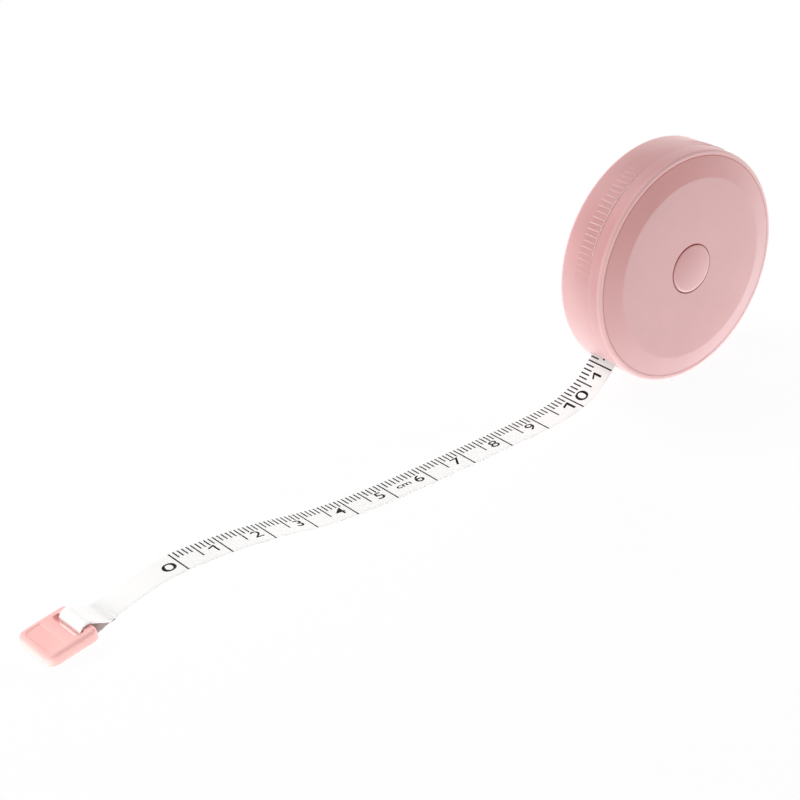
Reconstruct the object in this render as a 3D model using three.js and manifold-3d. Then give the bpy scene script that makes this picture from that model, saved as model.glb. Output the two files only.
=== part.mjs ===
// Push-button retractable tape measure, in millimetres, +Z up.
// The origin is on the surface that the case stands on, straight under the reel's axis. The axis runs along
// Y, the button's face looks towards -Y and the free tape lies along -X.
import * as THREE from 'three';
import { mergeVertices } from 'three/addons/utils/BufferGeometryUtils.js';
import Module from 'manifold-3d';

const wasm = await Module();
wasm.setup();

// Case: two shells that meet at a parting line on the rim, and a bevelled plate set in each face. Its width
// follows from the tape and the walls beside it.
const CASE_RADIUS = 25.3;
const RIM_WALL = 1.5;
const RIM_ROUND = 0.9;
const RIM_LIP = 1; // from the rim to the groove round the plate
const PARTING = 2.3; // the parting line lies this far in front of the middle plane
const PARTING_GAP = 0.12;
const TONGUE_WALL = 0.6;
const TONGUE_DEPTH = 1.4;
const TONGUE_GAP = 0.2;
const BEVEL_WIDTH = 4.3;
const BEVEL_DROP = 1.3;
const FACE_ROUND = 0.3; // how far the face's soft edge reaches on each side of the bend
const PLATE_WALL = 1.05;
const PLATE_SEAT_GAP = 0.15;
const GROOVE_WIDTH = 0.25;
const WEB = 1.1;
const SHELL_HOLE_MARGIN = 0.25; // the front shell's hole is this much wider than the plate's

// Grip ribs: two patches on the back shell's rim, behind the parting line.
const RIB_COUNT = 22;
const RIB_PITCH_DEG = 2.9;
const RIB_PATCHES_DEG = [140, 45];
const RIB_LENGTH = 3.7;
const RIB_HEIGHT = 0.22;
const RIB_BASE = 0.6;
const RIB_CREST = 0.25;

// Tape and its mouth in the rim.
const TAPE_WIDTH = 7.2;
const TAPE_THICKNESS = 0.36;
const MOUTH_SIDE_GAP = 0.3;
const MOUTH_HEIGHT = 1.7;
const MOUTH_FLARE = 2.6; // added height where the mouth opens through the rim
const MOUTH_DEPTH = 3.2;
const COIL_GAP = 0.2;
const COIL_BELOW_FLANGE = 0.4;

// Reel, turning on the back shell's post.
const TAPE_EDGE_GAP = 0.2;
const FLANGE_WALL = 0.7;
const REEL_SIDE_GAP = 0.35;
const REEL_EDGE_GAP = 3.3; // room for the tape to run down inside the rim
const DRUM_RADIUS = 12;
const DRUM_WALL = 1.5;
const REEL_WEB = 0.9;
const REEL_BOSS_WALL = 0.85;
const REEL_BOSS_LENGTH = 1.1;
const BEARING_GAP = 0.15;
const PRESS_GAP = 0.15;
const ANCHOR_RADIUS = 0.5;
const ANCHOR_SINK = 0.05;

// Power spring, a flat spiral between the post and the drum.
const POWER_TURNS = 8;
const POWER_THICKNESS = 0.25;
const POWER_SIDE_GAP = 0.3;
const POWER_END_GAP = 0.4;
const POST_SLIT = 0.7;

// Post, button, its spring and the friction brake.
const POST_RADIUS = 3;
const POST_END_GAP = 0.65; // left to the button when it is pressed
const POST_BORE_RADIUS = 2;
const POST_BORE_DEPTH = 3.8;
const BUTTON_RADIUS = 5.2;
const BUTTON_GAP = 0.25;
const BUTTON_PROUD = 0.1;
const BUTTON_DOME = 0.45;
const BUTTON_CAP = 1;
const BUTTON_SKIRT = 1.8;
const BUTTON_ROUND = 0.4;
const BUTTON_TRAVEL = 1.3;
const STEM_WALL = 0.8;
const STEM_GAP = 0.3;
const STEM_END_SETBACK = 1.2; // from the brake disc's rear to the stem's end
const BRAKE_WALL = 0.9;
const BRAKE_HUB_WALL = 1.1;
const BRAKE_HUB_LENGTH = 2.2;
const BRAKE_REAR_CLEARANCE = 0.3;
const BRAKE_RING_WALL = 1.25;
const BRAKE_RING_LIP = 0.4;
const BRAKE_GAP = 0.25;
const CONE_DEPTH = 1.3;
const CONE_SETBACK = 0.75; // from the cone's narrow end to the ring's front
const SPIGOT_WALL = 0.6;
const SPIGOT_LENGTH = 1.1;
const BUTTON_SPRING_TURNS = 5;
const BUTTON_SPRING_WIRE = 0.22; // radius of the wire
const BUTTON_SPRING_RADIUS = 1.5;
const SPRING_SEAT_GAP = 0.1;

// Pull tab, with its crossbar in the tape's loop and its nose on the surface.
const TAB_LENGTH = 11.1;
const TAB_WIDTH = 11.4;
const TAB_THICKNESS = 2.6;
const TAB_NOSE_ROUND = 2.2;
const TAB_BAR_ROUND = 1.6;
const TAB_EDGE_ROUND = 0.7;
const TAB_BAR = 2; // width of the crossbar
const TAB_SLOT = 1.95;
const TAB_SLOT_SIDE_GAP = 0.6;
const TAB_RECESS_DEPTH = 0.4;
const TAB_RECESS_BORDER = 1.1;
const TAB_BRIDGE = 2.1; // between the slot and the thumb recess
const TAB_RECESS_ROUND = 1.5;
const TAB_RECESS_STEP_ROUND = 0.5; // at its corners by the slot
const TAB_FLOOR_GAP = 0.05;
const BAR_X = -149.5;
const BAR_HEIGHT = 2.8;
const LOOP_RADIUS = 1.85; // to the middle of the tape's thickness
const FOLD_LENGTH = 5.8; // how far the folded end reaches back from the bar
const FOLD_LANDING = 4.6; // where it comes down on the tape
const WELD_SINK = 0.04; // how far the weld has melted the two layers together

const ROUND_STEPS = 60;
const INNER_STEPS = 36;
const LINE_STEPS = 4; // along the tape, between two points of its route
const FINE = 1e-4;
const CUT_MARGIN = 1; // how far a cut runs past what it cuts

// Widths, from the tape's middle plane out to the faces.
const MOUTH_HALF = TAPE_WIDTH / 2 + MOUTH_SIDE_GAP;
const REEL_HALF = TAPE_WIDTH / 2 + TAPE_EDGE_GAP + FLANGE_WALL;
const WEB_HALF = REEL_HALF + REEL_SIDE_GAP;
const SEAT_HALF = WEB_HALF + WEB;
const FACE_HALF = SEAT_HALF + PLATE_SEAT_GAP + PLATE_WALL;
const RIM_HALF = FACE_HALF - BEVEL_DROP;
const EDGE_SEAT_HALF = RIM_HALF - PLATE_WALL - PLATE_SEAT_GAP;
const EDGE_WEB_HALF = EDGE_SEAT_HALF - WEB;

// Radii, from the rim in.
const GROOVE_RADIUS = CASE_RADIUS - RIM_LIP;
const PLATE_RADIUS = GROOVE_RADIUS - GROOVE_WIDTH;
const FACE_RADIUS = PLATE_RADIUS - BEVEL_WIDTH;
const RIM_INSIDE = CASE_RADIUS - RIM_WALL;
const TONGUE_OUTSIDE = RIM_INSIDE - TONGUE_GAP;
const TONGUE_INSIDE = TONGUE_OUTSIDE - TONGUE_WALL;
const FLANGE_RADIUS = TONGUE_INSIDE - REEL_EDGE_GAP;
const COIL_OUTER_RADIUS = FLANGE_RADIUS - COIL_BELOW_FLANGE;
const DRUM_INSIDE = DRUM_RADIUS - DRUM_WALL;
const SPIGOT_RADIUS = DRUM_INSIDE - PRESS_GAP;
const CONE_WIDE = SPIGOT_RADIUS - SPIGOT_WALL;
const CONE_NARROW = CONE_WIDE - CONE_DEPTH;
const BRAKE_RING_RADIUS = CONE_WIDE - BRAKE_GAP;
const BRAKE_RING_INSIDE = BRAKE_RING_RADIUS - BRAKE_RING_WALL;
const BRAKE_RADIUS = BRAKE_RING_INSIDE - PRESS_GAP / 2;
const STEM_INSIDE = POST_RADIUS + STEM_GAP;
const STEM_RADIUS = STEM_INSIDE + STEM_WALL;
const PLATE_HOLE = BUTTON_RADIUS + BUTTON_GAP;
const SHELL_HOLE = PLATE_HOLE + SHELL_HOLE_MARGIN;

// Places along the axis of the button, the brake and the reel's web, in front of the middle plane.
const BUTTON_EDGE = FACE_HALF + BUTTON_PROUD;
const BUTTON_INSIDE = BUTTON_EDGE - BUTTON_CAP;
const POST_FRONT = BUTTON_INSIDE - BUTTON_TRAVEL - POST_END_GAP;
const POST_BORE_END = POST_FRONT - POST_BORE_DEPTH;
const CONE_FRONT = REEL_HALF - PRESS_GAP;
const BRAKE_RING_FRONT = CONE_FRONT - CONE_SETBACK;
const BRAKE_FRONT = BRAKE_RING_FRONT - BRAKE_RING_LIP;
const BRAKE_REAR = BRAKE_FRONT - BRAKE_WALL;
const STEM_END = BRAKE_REAR + STEM_END_SETBACK;
const REEL_WEB_FRONT = BRAKE_REAR - BUTTON_TRAVEL - BRAKE_REAR_CLEARANCE;
const REEL_WEB_BACK = REEL_WEB_FRONT - REEL_WEB;

// The tape's route in side view, as x and height above the surface: off the reel, down through the mouth,
// onto the surface and up in a slack rise to the tab's crossbar.
const TAPE_ROUTE = [
  [-19.55, 23.7], [-19.3, 19.8], [-18.4, 14.9], [-17.6, 11], [-17.5, 9.8], [-17.85, 8.75], [-18.6, 7.87],
  [-19.5, 7.05], [-21.25, 5.3], [-23.2, 3.67], [-27.8, 1.66], [-32.7, 0.68], [-38, 0.36], [-45, 0.3],
  [-57.7, 0.3], [-67.7, 0.36], [-77.7, 0.57], [-82.7, 0.77], [-87.6, 1.09], [-92.6, 1.6], [-97.6, 2.38],
  [-102.4, 3.36], [-107.4, 4.27], [-112.3, 5.02], [-117.3, 5.57], [-122.3, 5.95], [-127.2, 6.15],
  [-133, 5.75], [-138.5, 4.7], [-143.5, 3.2], [-147, 1.9],
];

const finishes = {
  shell: new THREE.MeshStandardMaterial({ color: 0xdca6a6, roughness: 0.42, metalness: 0 }),
  plate: new THREE.MeshStandardMaterial({ color: 0xd8acac, roughness: 0.45, metalness: 0 }),
  button: new THREE.MeshStandardMaterial({ color: 0xe0aaac, roughness: 0.38, metalness: 0 }),
  tab: new THREE.MeshStandardMaterial({ color: 0xfbbcb8, roughness: 0.4, metalness: 0 }),
  tape: new THREE.MeshStandardMaterial({ color: 0xf7f5f3, roughness: 0.55, metalness: 0 }),
  reel: new THREE.MeshStandardMaterial({ color: 0xf0eeea, roughness: 0.5, metalness: 0 }),
  steel: new THREE.MeshStandardMaterial({ color: 0xb4b8bc, roughness: 0.3, metalness: 1 }),
  rubber: new THREE.MeshStandardMaterial({ color: 0x2c2c2e, roughness: 0.85, metalness: 0 }),
};

/** Turns a closed geometry into a solid, with its corners merged and its faces pointing out. */
function solid(geometry) {
  const bare = geometry.clone();
  bare.deleteAttribute('normal');
  bare.deleteAttribute('uv');
  const merged = mergeVertices(bare, FINE);
  const place = merged.attributes.position;
  const corner = (i) => new THREE.Vector3().fromBufferAttribute(place, i);
  const triangles = [];
  let volume = 0;
  for (let i = 0; i < merged.index.count; i += 3) {
    const [a, b, c] = [0, 1, 2].map((k) => merged.index.getX(i + k));
    if (a !== b && b !== c && c !== a) {
      triangles.push([a, b, c]);
      volume += corner(a).dot(corner(b).cross(corner(c)));
    }
  }
  const outward = volume > 0 ? triangles : triangles.map(([a, b, c]) => [a, c, b]);
  return new wasm.Manifold(new wasm.Mesh({
    numProp: 3,
    vertProperties: Float32Array.from(place.array),
    triVerts: Uint32Array.from(outward.flat()),
  }));
}

/** Turns a profile of radius and distance towards the back round the reel's axis. */
function revolve(profile, steps) {
  const points = [...profile, profile[0]].map(([r, y]) => new THREE.Vector2(r, y));
  return solid(new THREE.LatheGeometry(points, steps));
}

/** The same with distances counted towards the front. */
function revolveFront(profile, steps) {
  return revolve(profile.map(([r, front]) => [r, -front]), steps);
}

/** Extrudes a side view, drawn in x and z, along the reel's axis between two places. */
function slab(shape, from, to) {
  const depth = to - from;
  const geometry = new THREE.ExtrudeGeometry(shape, { depth, bevelEnabled: false, curveSegments: 6 });
  geometry.rotateX(Math.PI / 2);
  geometry.translate(0, to, 0);
  return solid(geometry);
}

/** A closed side view from corners. */
function outline(points) {
  return new THREE.Shape(points.map(([x, z]) => new THREE.Vector2(x, z)));
}

/** A round of points from one angle to another, in degrees, for a profile. */
function arc(cx, cy, radius, fromDeg, toDeg, steps) {
  return Array.from({ length: steps + 1 }, (_, i) => {
    const angle = THREE.MathUtils.degToRad(fromDeg + ((toDeg - fromDeg) * i) / steps);
    return [cx + radius * Math.cos(angle), cy + radius * Math.sin(angle)];
  });
}

/** A side view of a strip of even thickness along a line of points. */
function strip(line, thickness) {
  const sides = [[], []];
  line.forEach((point, i) => {
    const before = line[Math.max(i - 1, 0)];
    const after = line[Math.min(i + 1, line.length - 1)];
    const across = after.clone().sub(before).normalize().multiplyScalar(thickness / 2);
    sides[0].push(new THREE.Vector2(point.x - across.y, point.y + across.x));
    sides[1].push(new THREE.Vector2(point.x + across.y, point.y - across.x));
  });
  return new THREE.Shape([...sides[0], ...sides[1].reverse()]);
}

/** The least clear distance between turns of a wound strip or wire, by its points. */
function leastGap(points, thickness, perTurn) {
  let least = Infinity;
  for (let i = 0; i < points.length; i += 1) {
    for (let j = i + Math.round(perTurn / 2); j < points.length; j += 1) {
      least = Math.min(least, points[i].distanceTo(points[j]) - thickness);
    }
  }
  return least;
}

/** A named mesh from a solid. */
function piece(name, body, material) {
  const { vertProperties, triVerts } = body.getMesh();
  const geometry = new THREE.BufferGeometry();
  geometry.setAttribute('position', new THREE.BufferAttribute(Float32Array.from(vertProperties), 3));
  geometry.setIndex(new THREE.BufferAttribute(Uint32Array.from(triVerts), 1));
  geometry.computeVertexNormals();
  const mesh = new THREE.Mesh(geometry, material);
  mesh.name = name;
  return mesh;
}

// Each shell's face side: the plate's seat, the groove round it and the rounded edge of the rim.
const faceSide = [
  [FACE_RADIUS, SEAT_HALF],
  [PLATE_RADIUS, EDGE_SEAT_HALF],
  [GROOVE_RADIUS, EDGE_SEAT_HALF],
  [GROOVE_RADIUS, RIM_HALF],
  ...arc(CASE_RADIUS - RIM_ROUND, RIM_HALF - RIM_ROUND, RIM_ROUND, 90, 0, 4),
];

/** Height of a shell's inner side above the middle plane at a radius, under the plate's bevel. */
function insideCone(radius) {
  const share = Math.min((radius - FACE_RADIUS) / (PLATE_RADIUS - FACE_RADIUS), 1);
  return WEB_HALF + share * (EDGE_WEB_HALF - WEB_HALF);
}

// The middle line of the tape, from the reel to the foot of the loop round the crossbar.
const loopFoot = [BAR_X, BAR_HEIGHT - LOOP_RADIUS];
const tapeLine = new THREE.SplineCurve([...TAPE_ROUTE, loopFoot].map(([x, z]) => new THREE.Vector2(x, z)))
  .getPoints(TAPE_ROUTE.length * LINE_STEPS);

/** The mouth's cut: a slot along the tape's way through the rim, flared to the outside. */
function mouthCut() {
  const line = tapeLine.map((point) => new THREE.Vector2(point.x, point.y - CASE_RADIUS));
  const atRim = line.findIndex((point) => point.length() > CASE_RADIUS - RIM_WALL / 2);
  const inside = line.findIndex((point) => point.length() > RIM_INSIDE - MOUTH_DEPTH);
  const along = line[atRim + 1].clone().sub(line[atRim - 1]).normalize();
  const across = new THREE.Vector2(-along.y, along.x);
  const at = (s, w) => line[atRim].clone().addScaledVector(along, s).addScaledVector(across, w);
  const half = MOUTH_HEIGHT / 2;
  const wide = half + MOUTH_FLARE / 2;
  const flare = new THREE.Shape([at(0, -half), at(MOUTH_DEPTH, -wide), at(MOUTH_DEPTH, wide), at(0, half)]);
  const slot = strip(line.slice(inside, atRim + LINE_STEPS), MOUTH_HEIGHT);
  return slab(slot, -MOUTH_HALF, MOUTH_HALF).add(slab(flare, -MOUTH_HALF, MOUTH_HALF));
}

/** One patch of grip ribs, moulded on the rim and tapered to their crests. */
function ribPatch(middleDeg) {
  const rib = outline([
    [CASE_RADIUS - RIM_WALL / 2, -RIB_BASE / 2], [CASE_RADIUS, -RIB_BASE / 2],
    [CASE_RADIUS + RIB_HEIGHT, -RIB_CREST / 2], [CASE_RADIUS + RIB_HEIGHT, RIB_CREST / 2],
    [CASE_RADIUS, RIB_BASE / 2], [CASE_RADIUS - RIM_WALL / 2, RIB_BASE / 2],
  ]);
  const front = -PARTING + PARTING_GAP / 2;
  const one = slab(rib, front, front + RIB_LENGTH);
  const ribs = Array.from({ length: RIB_COUNT }, (_, i) => {
    const angle = middleDeg + (i - (RIB_COUNT - 1) / 2) * RIB_PITCH_DEG;
    return one.rotate([0, -angle, 0]);
  });
  return ribs.reduce((all, next) => all.add(next));
}

/** Front half of the case: face web with the button's hole, rim half and locating tongue. */
function frontShell() {
  const parting = PARTING + PARTING_GAP / 2;
  const tongueEnd = PARTING - TONGUE_DEPTH;
  const corner = Math.min(TONGUE_INSIDE, PLATE_RADIUS);
  return revolveFront([
    [SHELL_HOLE, SEAT_HALF], ...faceSide, [CASE_RADIUS, parting], [TONGUE_OUTSIDE, parting],
    [TONGUE_OUTSIDE, tongueEnd], [TONGUE_INSIDE, tongueEnd], [TONGUE_INSIDE, insideCone(TONGUE_INSIDE)],
    [corner, insideCone(corner)], [FACE_RADIUS, WEB_HALF], [SHELL_HOLE, WEB_HALF],
  ], ROUND_STEPS).subtract(mouthCut());
}

/** Back half of the case: face web, rim with its grip ribs, and the split post that carries the reel. */
function backShell() {
  const parting = -PARTING + PARTING_GAP / 2;
  const corner = Math.min(RIM_INSIDE, PLATE_RADIUS);
  const cup = revolve([
    [0, SEAT_HALF], ...faceSide, [CASE_RADIUS, parting], [RIM_INSIDE, parting],
    [RIM_INSIDE, insideCone(RIM_INSIDE)], [corner, insideCone(corner)], [FACE_RADIUS, WEB_HALF],
    [0, WEB_HALF],
  ], ROUND_STEPS);
  const post = revolveFront([
    [0, -WEB_HALF - WEB / 2], [POST_RADIUS, -WEB_HALF - WEB / 2], [POST_RADIUS, POST_FRONT],
    [POST_BORE_RADIUS, POST_FRONT], [POST_BORE_RADIUS, POST_BORE_END], [0, POST_BORE_END],
  ], INNER_STEPS);
  const slitEnd = POST_RADIUS + CUT_MARGIN;
  const slitHalf = POST_SLIT / 2;
  const slit = slab(outline([
    [-slitEnd, -slitHalf], [slitEnd, -slitHalf], [slitEnd, slitHalf], [-slitEnd, slitHalf],
  ]), -POST_FRONT - CUT_MARGIN, REEL_HALF - FLANGE_WALL);
  const ribs = RIB_PATCHES_DEG.map(ribPatch).reduce((all, next) => all.add(next));
  return cup.add(ribs).subtract(mouthCut()).add(post.subtract(slit));
}

/** A bevelled face plate with a soft edge round its flat face, with or without the button's hole. */
function facePlate(hole) {
  const fall = (FACE_HALF - RIM_HALF) / (PLATE_RADIUS - FACE_RADIUS);
  const soft = [-1, -0.5, 0, 0.5, 1].map((share) => {
    const r = FACE_RADIUS + share * FACE_ROUND;
    return [r, FACE_HALF - (fall * FACE_ROUND * (1 + share) ** 2) / 4];
  });
  return [
    [hole, FACE_HALF], ...soft, [PLATE_RADIUS, RIM_HALF], [PLATE_RADIUS, RIM_HALF - PLATE_WALL],
    [FACE_RADIUS, FACE_HALF - PLATE_WALL], [hole, FACE_HALF - PLATE_WALL],
  ];
}

/** Domed button cap on a hollow stem that slides on the post. */
function pushButton() {
  const domeRadius = (BUTTON_RADIUS ** 2 + BUTTON_DOME ** 2) / (2 * BUTTON_DOME);
  const dome = [0, 0.25, 0.5, 0.75, 0.94].map((share) => {
    const r = share * BUTTON_RADIUS;
    return [r, BUTTON_EDGE + Math.sqrt(domeRadius ** 2 - r ** 2) - (domeRadius - BUTTON_DOME)];
  });
  return revolveFront([
    ...dome, [BUTTON_RADIUS, BUTTON_EDGE - BUTTON_ROUND], [BUTTON_RADIUS, BUTTON_EDGE - BUTTON_SKIRT],
    [STEM_RADIUS, BUTTON_EDGE - BUTTON_SKIRT], [STEM_RADIUS, STEM_END], [STEM_INSIDE, STEM_END],
    [STEM_INSIDE, BUTTON_INSIDE], [0, BUTTON_INSIDE],
  ], INNER_STEPS);
}

/** Disc that the stem carries behind the front web. */
function brakeDisc() {
  const inside = STEM_RADIUS + PRESS_GAP;
  const hub = inside + BRAKE_HUB_WALL;
  const hubFront = BRAKE_REAR + BRAKE_HUB_LENGTH;
  return revolveFront([
    [inside, BRAKE_REAR], [BRAKE_RADIUS, BRAKE_REAR], [BRAKE_RADIUS, BRAKE_FRONT], [hub, BRAKE_FRONT],
    [hub, hubFront], [inside, hubFront],
  ], INNER_STEPS);
}

/** Rubber ring on the brake disc's edge, coned to bear on the reel's front flange. */
function brakeRing() {
  const setback = BRAKE_GAP * Math.SQRT2;
  const radiusAt = (front) => CONE_NARROW + (CONE_FRONT - front) - setback;
  const shoulder = CONE_FRONT - (BRAKE_RING_RADIUS - CONE_NARROW + setback);
  return revolveFront([
    [BRAKE_RING_INSIDE, BRAKE_REAR], [BRAKE_RING_RADIUS, BRAKE_REAR], [BRAKE_RING_RADIUS, shoulder],
    [radiusAt(BRAKE_RING_FRONT), BRAKE_RING_FRONT], [BRAKE_RING_INSIDE, BRAKE_RING_FRONT],
  ], INNER_STEPS);
}

/** Drum with the back flange, the web that runs on the post, and the groove for the tape's anchor. */
function reelDrum() {
  const bore = POST_RADIUS + BEARING_GAP;
  const front = REEL_HALF - FLANGE_WALL - PRESS_GAP;
  const back = -REEL_HALF;
  const body = revolveFront([
    [DRUM_RADIUS, front], [DRUM_RADIUS, back + FLANGE_WALL], [FLANGE_RADIUS, back + FLANGE_WALL],
    [FLANGE_RADIUS, back], [DRUM_INSIDE, back], [DRUM_INSIDE, REEL_WEB_BACK], [bore, REEL_WEB_BACK],
    [bore, REEL_WEB_FRONT + REEL_BOSS_LENGTH], [bore + REEL_BOSS_WALL, REEL_WEB_FRONT + REEL_BOSS_LENGTH],
    [bore + REEL_BOSS_WALL, REEL_WEB_FRONT], [DRUM_INSIDE, REEL_WEB_FRONT], [DRUM_INSIDE, front],
  ], INNER_STEPS);
  const groove = new THREE.Shape().absarc(0, anchorHeight, ANCHOR_RADIUS + PRESS_GAP, 0, 2 * Math.PI);
  return body.subtract(slab(groove, -REEL_HALF, REEL_HALF - FLANGE_WALL));
}

// The anchor pin lies in the drum's wall, at its top at rest.
const anchorHeight = DRUM_RADIUS - ANCHOR_RADIUS - ANCHOR_SINK;

/** Pin that wedges the tape's inner end in the drum's groove. */
function tapeAnchor() {
  const pin = new THREE.Shape().absarc(0, anchorHeight, ANCHOR_RADIUS, 0, 2 * Math.PI);
  return slab(pin, -TAPE_WIDTH / 2, TAPE_WIDTH / 2);
}

/** Front flange, pressed into the drum, with the brake's friction cone inside it. */
function reelFlange() {
  const inner = REEL_HALF - FLANGE_WALL;
  return revolveFront([
    [CONE_NARROW, CONE_FRONT], [CONE_NARROW, REEL_HALF], [FLANGE_RADIUS, REEL_HALF], [FLANGE_RADIUS, inner],
    [SPIGOT_RADIUS, inner], [SPIGOT_RADIUS, inner - SPIGOT_LENGTH], [CONE_WIDE, inner - SPIGOT_LENGTH],
    [CONE_WIDE, CONE_FRONT - CONE_DEPTH],
  ], INNER_STEPS);
}

/** Disc that closes the drum behind the power spring. */
function springCover() {
  const bore = POST_RADIUS + BEARING_GAP;
  const edge = DRUM_INSIDE - PRESS_GAP;
  return revolve([
    [bore, REEL_HALF - FLANGE_WALL], [edge, REEL_HALF - FLANGE_WALL], [edge, REEL_HALF], [bore, REEL_HALF],
  ], INNER_STEPS);
}

/** Flat spiral spring: hooked in the post's slit, wound out to the drum's wall. */
function powerSpring() {
  const perTurn = 20;
  const inner = POST_RADIUS + POWER_END_GAP;
  const outer = DRUM_INSIDE - POWER_END_GAP;
  const steps = POWER_TURNS * perTurn;
  const line = [new THREE.Vector2(POST_BORE_RADIUS / 2, 0), new THREE.Vector2(POST_RADIUS, 0)];
  const turns = Array.from({ length: steps + 1 }, (_, i) => {
    const angle = (2 * Math.PI * i) / perTurn;
    const radius = inner + ((outer - inner) * i) / steps;
    return new THREE.Vector2(radius * Math.cos(angle), radius * Math.sin(angle));
  });
  const gap = leastGap(turns, POWER_THICKNESS, perTurn);
  console.log(`power_spring least gap to itself ${gap.toFixed(2)} mm`);
  const front = -REEL_WEB_BACK + POWER_SIDE_GAP;
  const back = REEL_HALF - FLANGE_WALL - POWER_SIDE_GAP;
  return slab(strip([...line, ...turns], POWER_THICKNESS), front, back);
}

/** The wound tape: a core with its outer layer running off to the mouth. */
function tapeCoil() {
  const steps = ROUND_STEPS;
  const edge = Array.from({ length: steps + 1 }, (_, i) => {
    const angle = Math.PI + (2 * Math.PI * i) / steps;
    const radius = COIL_OUTER_RADIUS - (TAPE_THICKNESS * i) / steps;
    return [radius * Math.cos(angle), radius * Math.sin(angle)];
  });
  const shape = outline(edge);
  const hole = new THREE.Path().absarc(0, 0, DRUM_RADIUS + COIL_GAP, 0, 2 * Math.PI);
  shape.holes.push(new THREE.Path(hole.getPoints(INNER_STEPS)));
  return slab(shape, -TAPE_WIDTH / 2, TAPE_WIDTH / 2);
}

/** Wire of the button's spring. */
class Helix extends THREE.Curve {
  constructor(radius, from, to, turns) {
    super();
    Object.assign(this, { radius, from, to, turns });
  }

  getPoint(t) {
    const angle = 2 * Math.PI * this.turns * t;
    const y = this.from + (this.to - this.from) * t;
    return new THREE.Vector3(this.radius * Math.cos(angle), y, this.radius * Math.sin(angle));
  }
}

/** Compression spring between the post's bore and the inside of the button. */
function buttonSpring() {
  const perTurn = 8;
  const back = -POST_BORE_END - BUTTON_SPRING_WIRE - SPRING_SEAT_GAP;
  const front = -BUTTON_INSIDE + BUTTON_SPRING_WIRE + SPRING_SEAT_GAP;
  const wire = new Helix(BUTTON_SPRING_RADIUS, back, front, BUTTON_SPRING_TURNS);
  const steps = BUTTON_SPRING_TURNS * perTurn;
  const gap = leastGap(wire.getPoints(steps * 3), 2 * BUTTON_SPRING_WIRE, perTurn * 3);
  console.log(`button_spring least gap to itself ${gap.toFixed(2)} mm`);
  const section = outline(arc(0, 0, BUTTON_SPRING_WIRE, 0, 288, 4));
  return solid(new THREE.ExtrudeGeometry(section, { steps, extrudePath: wire, bevelEnabled: false }));
}

/** The tape from the reel to the tab: one strip, looped up through the tab's slot and folded on itself. */
function tapeRun() {
  const loop = arc(BAR_X, BAR_HEIGHT, LOOP_RADIUS, 270, 60, 12).map(([x, z]) => new THREE.Vector2(x, z));
  const above = (reach) => {
    const x = BAR_X + reach;
    const next = tapeLine.findIndex((point) => point.x <= x);
    const [from, to] = [tapeLine[next - 1], tapeLine[next]];
    const z = THREE.MathUtils.mapLinear(x, from.x, to.x, from.y, to.y);
    return new THREE.Vector2(x, z + TAPE_THICKNESS - WELD_SINK);
  };
  const crest = loop.splice(-3);
  const back = new THREE.SplineCurve([...crest, above(FOLD_LANDING), above(FOLD_LENGTH)]).getPoints(12);
  const half = TAPE_WIDTH / 2;
  const main = slab(strip(tapeLine, TAPE_THICKNESS), -half, half);
  const fold = slab(strip([...loop, ...back], TAPE_THICKNESS), -half, half);
  return main.add(fold);
}

/** A rectangle with its own rounding on each end, in the tab's plane: along the nose and across. */
function roundedPanel(from, to, halfWidth, fromRound, toRound) {
  return new THREE.Shape()
    .moveTo(from + fromRound, -halfWidth)
    .lineTo(to - toRound, -halfWidth)
    .absarc(to - toRound, -halfWidth + toRound, toRound, -Math.PI / 2, 0)
    .lineTo(to, halfWidth - toRound)
    .absarc(to - toRound, halfWidth - toRound, toRound, 0, Math.PI / 2)
    .lineTo(from + fromRound, halfWidth)
    .absarc(from + fromRound, halfWidth - fromRound, fromRound, Math.PI / 2, Math.PI)
    .lineTo(from, -halfWidth + fromRound)
    .absarc(from + fromRound, -halfWidth + fromRound, fromRound, Math.PI, (3 * Math.PI) / 2);
}

/** A panel's plate between two heights, with or without rounded edges. */
function panelSolid(shape, low, high, round) {
  const options = { depth: high - low - 2 * round, bevelEnabled: round > 0, curveSegments: 4 };
  Object.assign(options, { bevelSize: round, bevelThickness: round, bevelOffset: -round, bevelSegments: 2 });
  const geometry = new THREE.ExtrudeGeometry(shape, options);
  geometry.translate(0, 0, low + round);
  return solid(geometry);
}

/** Pull tab, drawn with its crossbar on the origin and its nose towards +X of its own plane. */
function endTab() {
  const half = TAB_THICKNESS / 2;
  const barEdge = TAB_BAR / 2;
  const nose = TAB_LENGTH - barEdge;
  const slotEnd = barEdge + TAB_SLOT;
  const body = panelSolid(
    roundedPanel(-barEdge, nose, TAB_WIDTH / 2, TAB_BAR_ROUND, TAB_NOSE_ROUND), -half, half, TAB_EDGE_ROUND);
  const slotHalf = TAPE_WIDTH / 2 + TAB_SLOT_SIDE_GAP;
  const slotRound = TAB_SLOT / 4;
  const through = half + CUT_MARGIN;
  const opening = roundedPanel(barEdge, slotEnd, slotHalf, slotRound, slotRound);
  const slot = panelSolid(opening, -through, through, 0);
  const recess = roundedPanel(
    slotEnd + TAB_BRIDGE, nose - TAB_RECESS_BORDER, TAB_WIDTH / 2 - TAB_RECESS_BORDER, TAB_RECESS_STEP_ROUND,
    TAB_RECESS_ROUND);
  const floor = half - TAB_RECESS_DEPTH;
  const upper = panelSolid(recess, floor, through, 0);
  const lower = panelSolid(recess, -through, -floor, 0);
  return body.subtract(slot).subtract(upper).subtract(lower);
}

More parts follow.
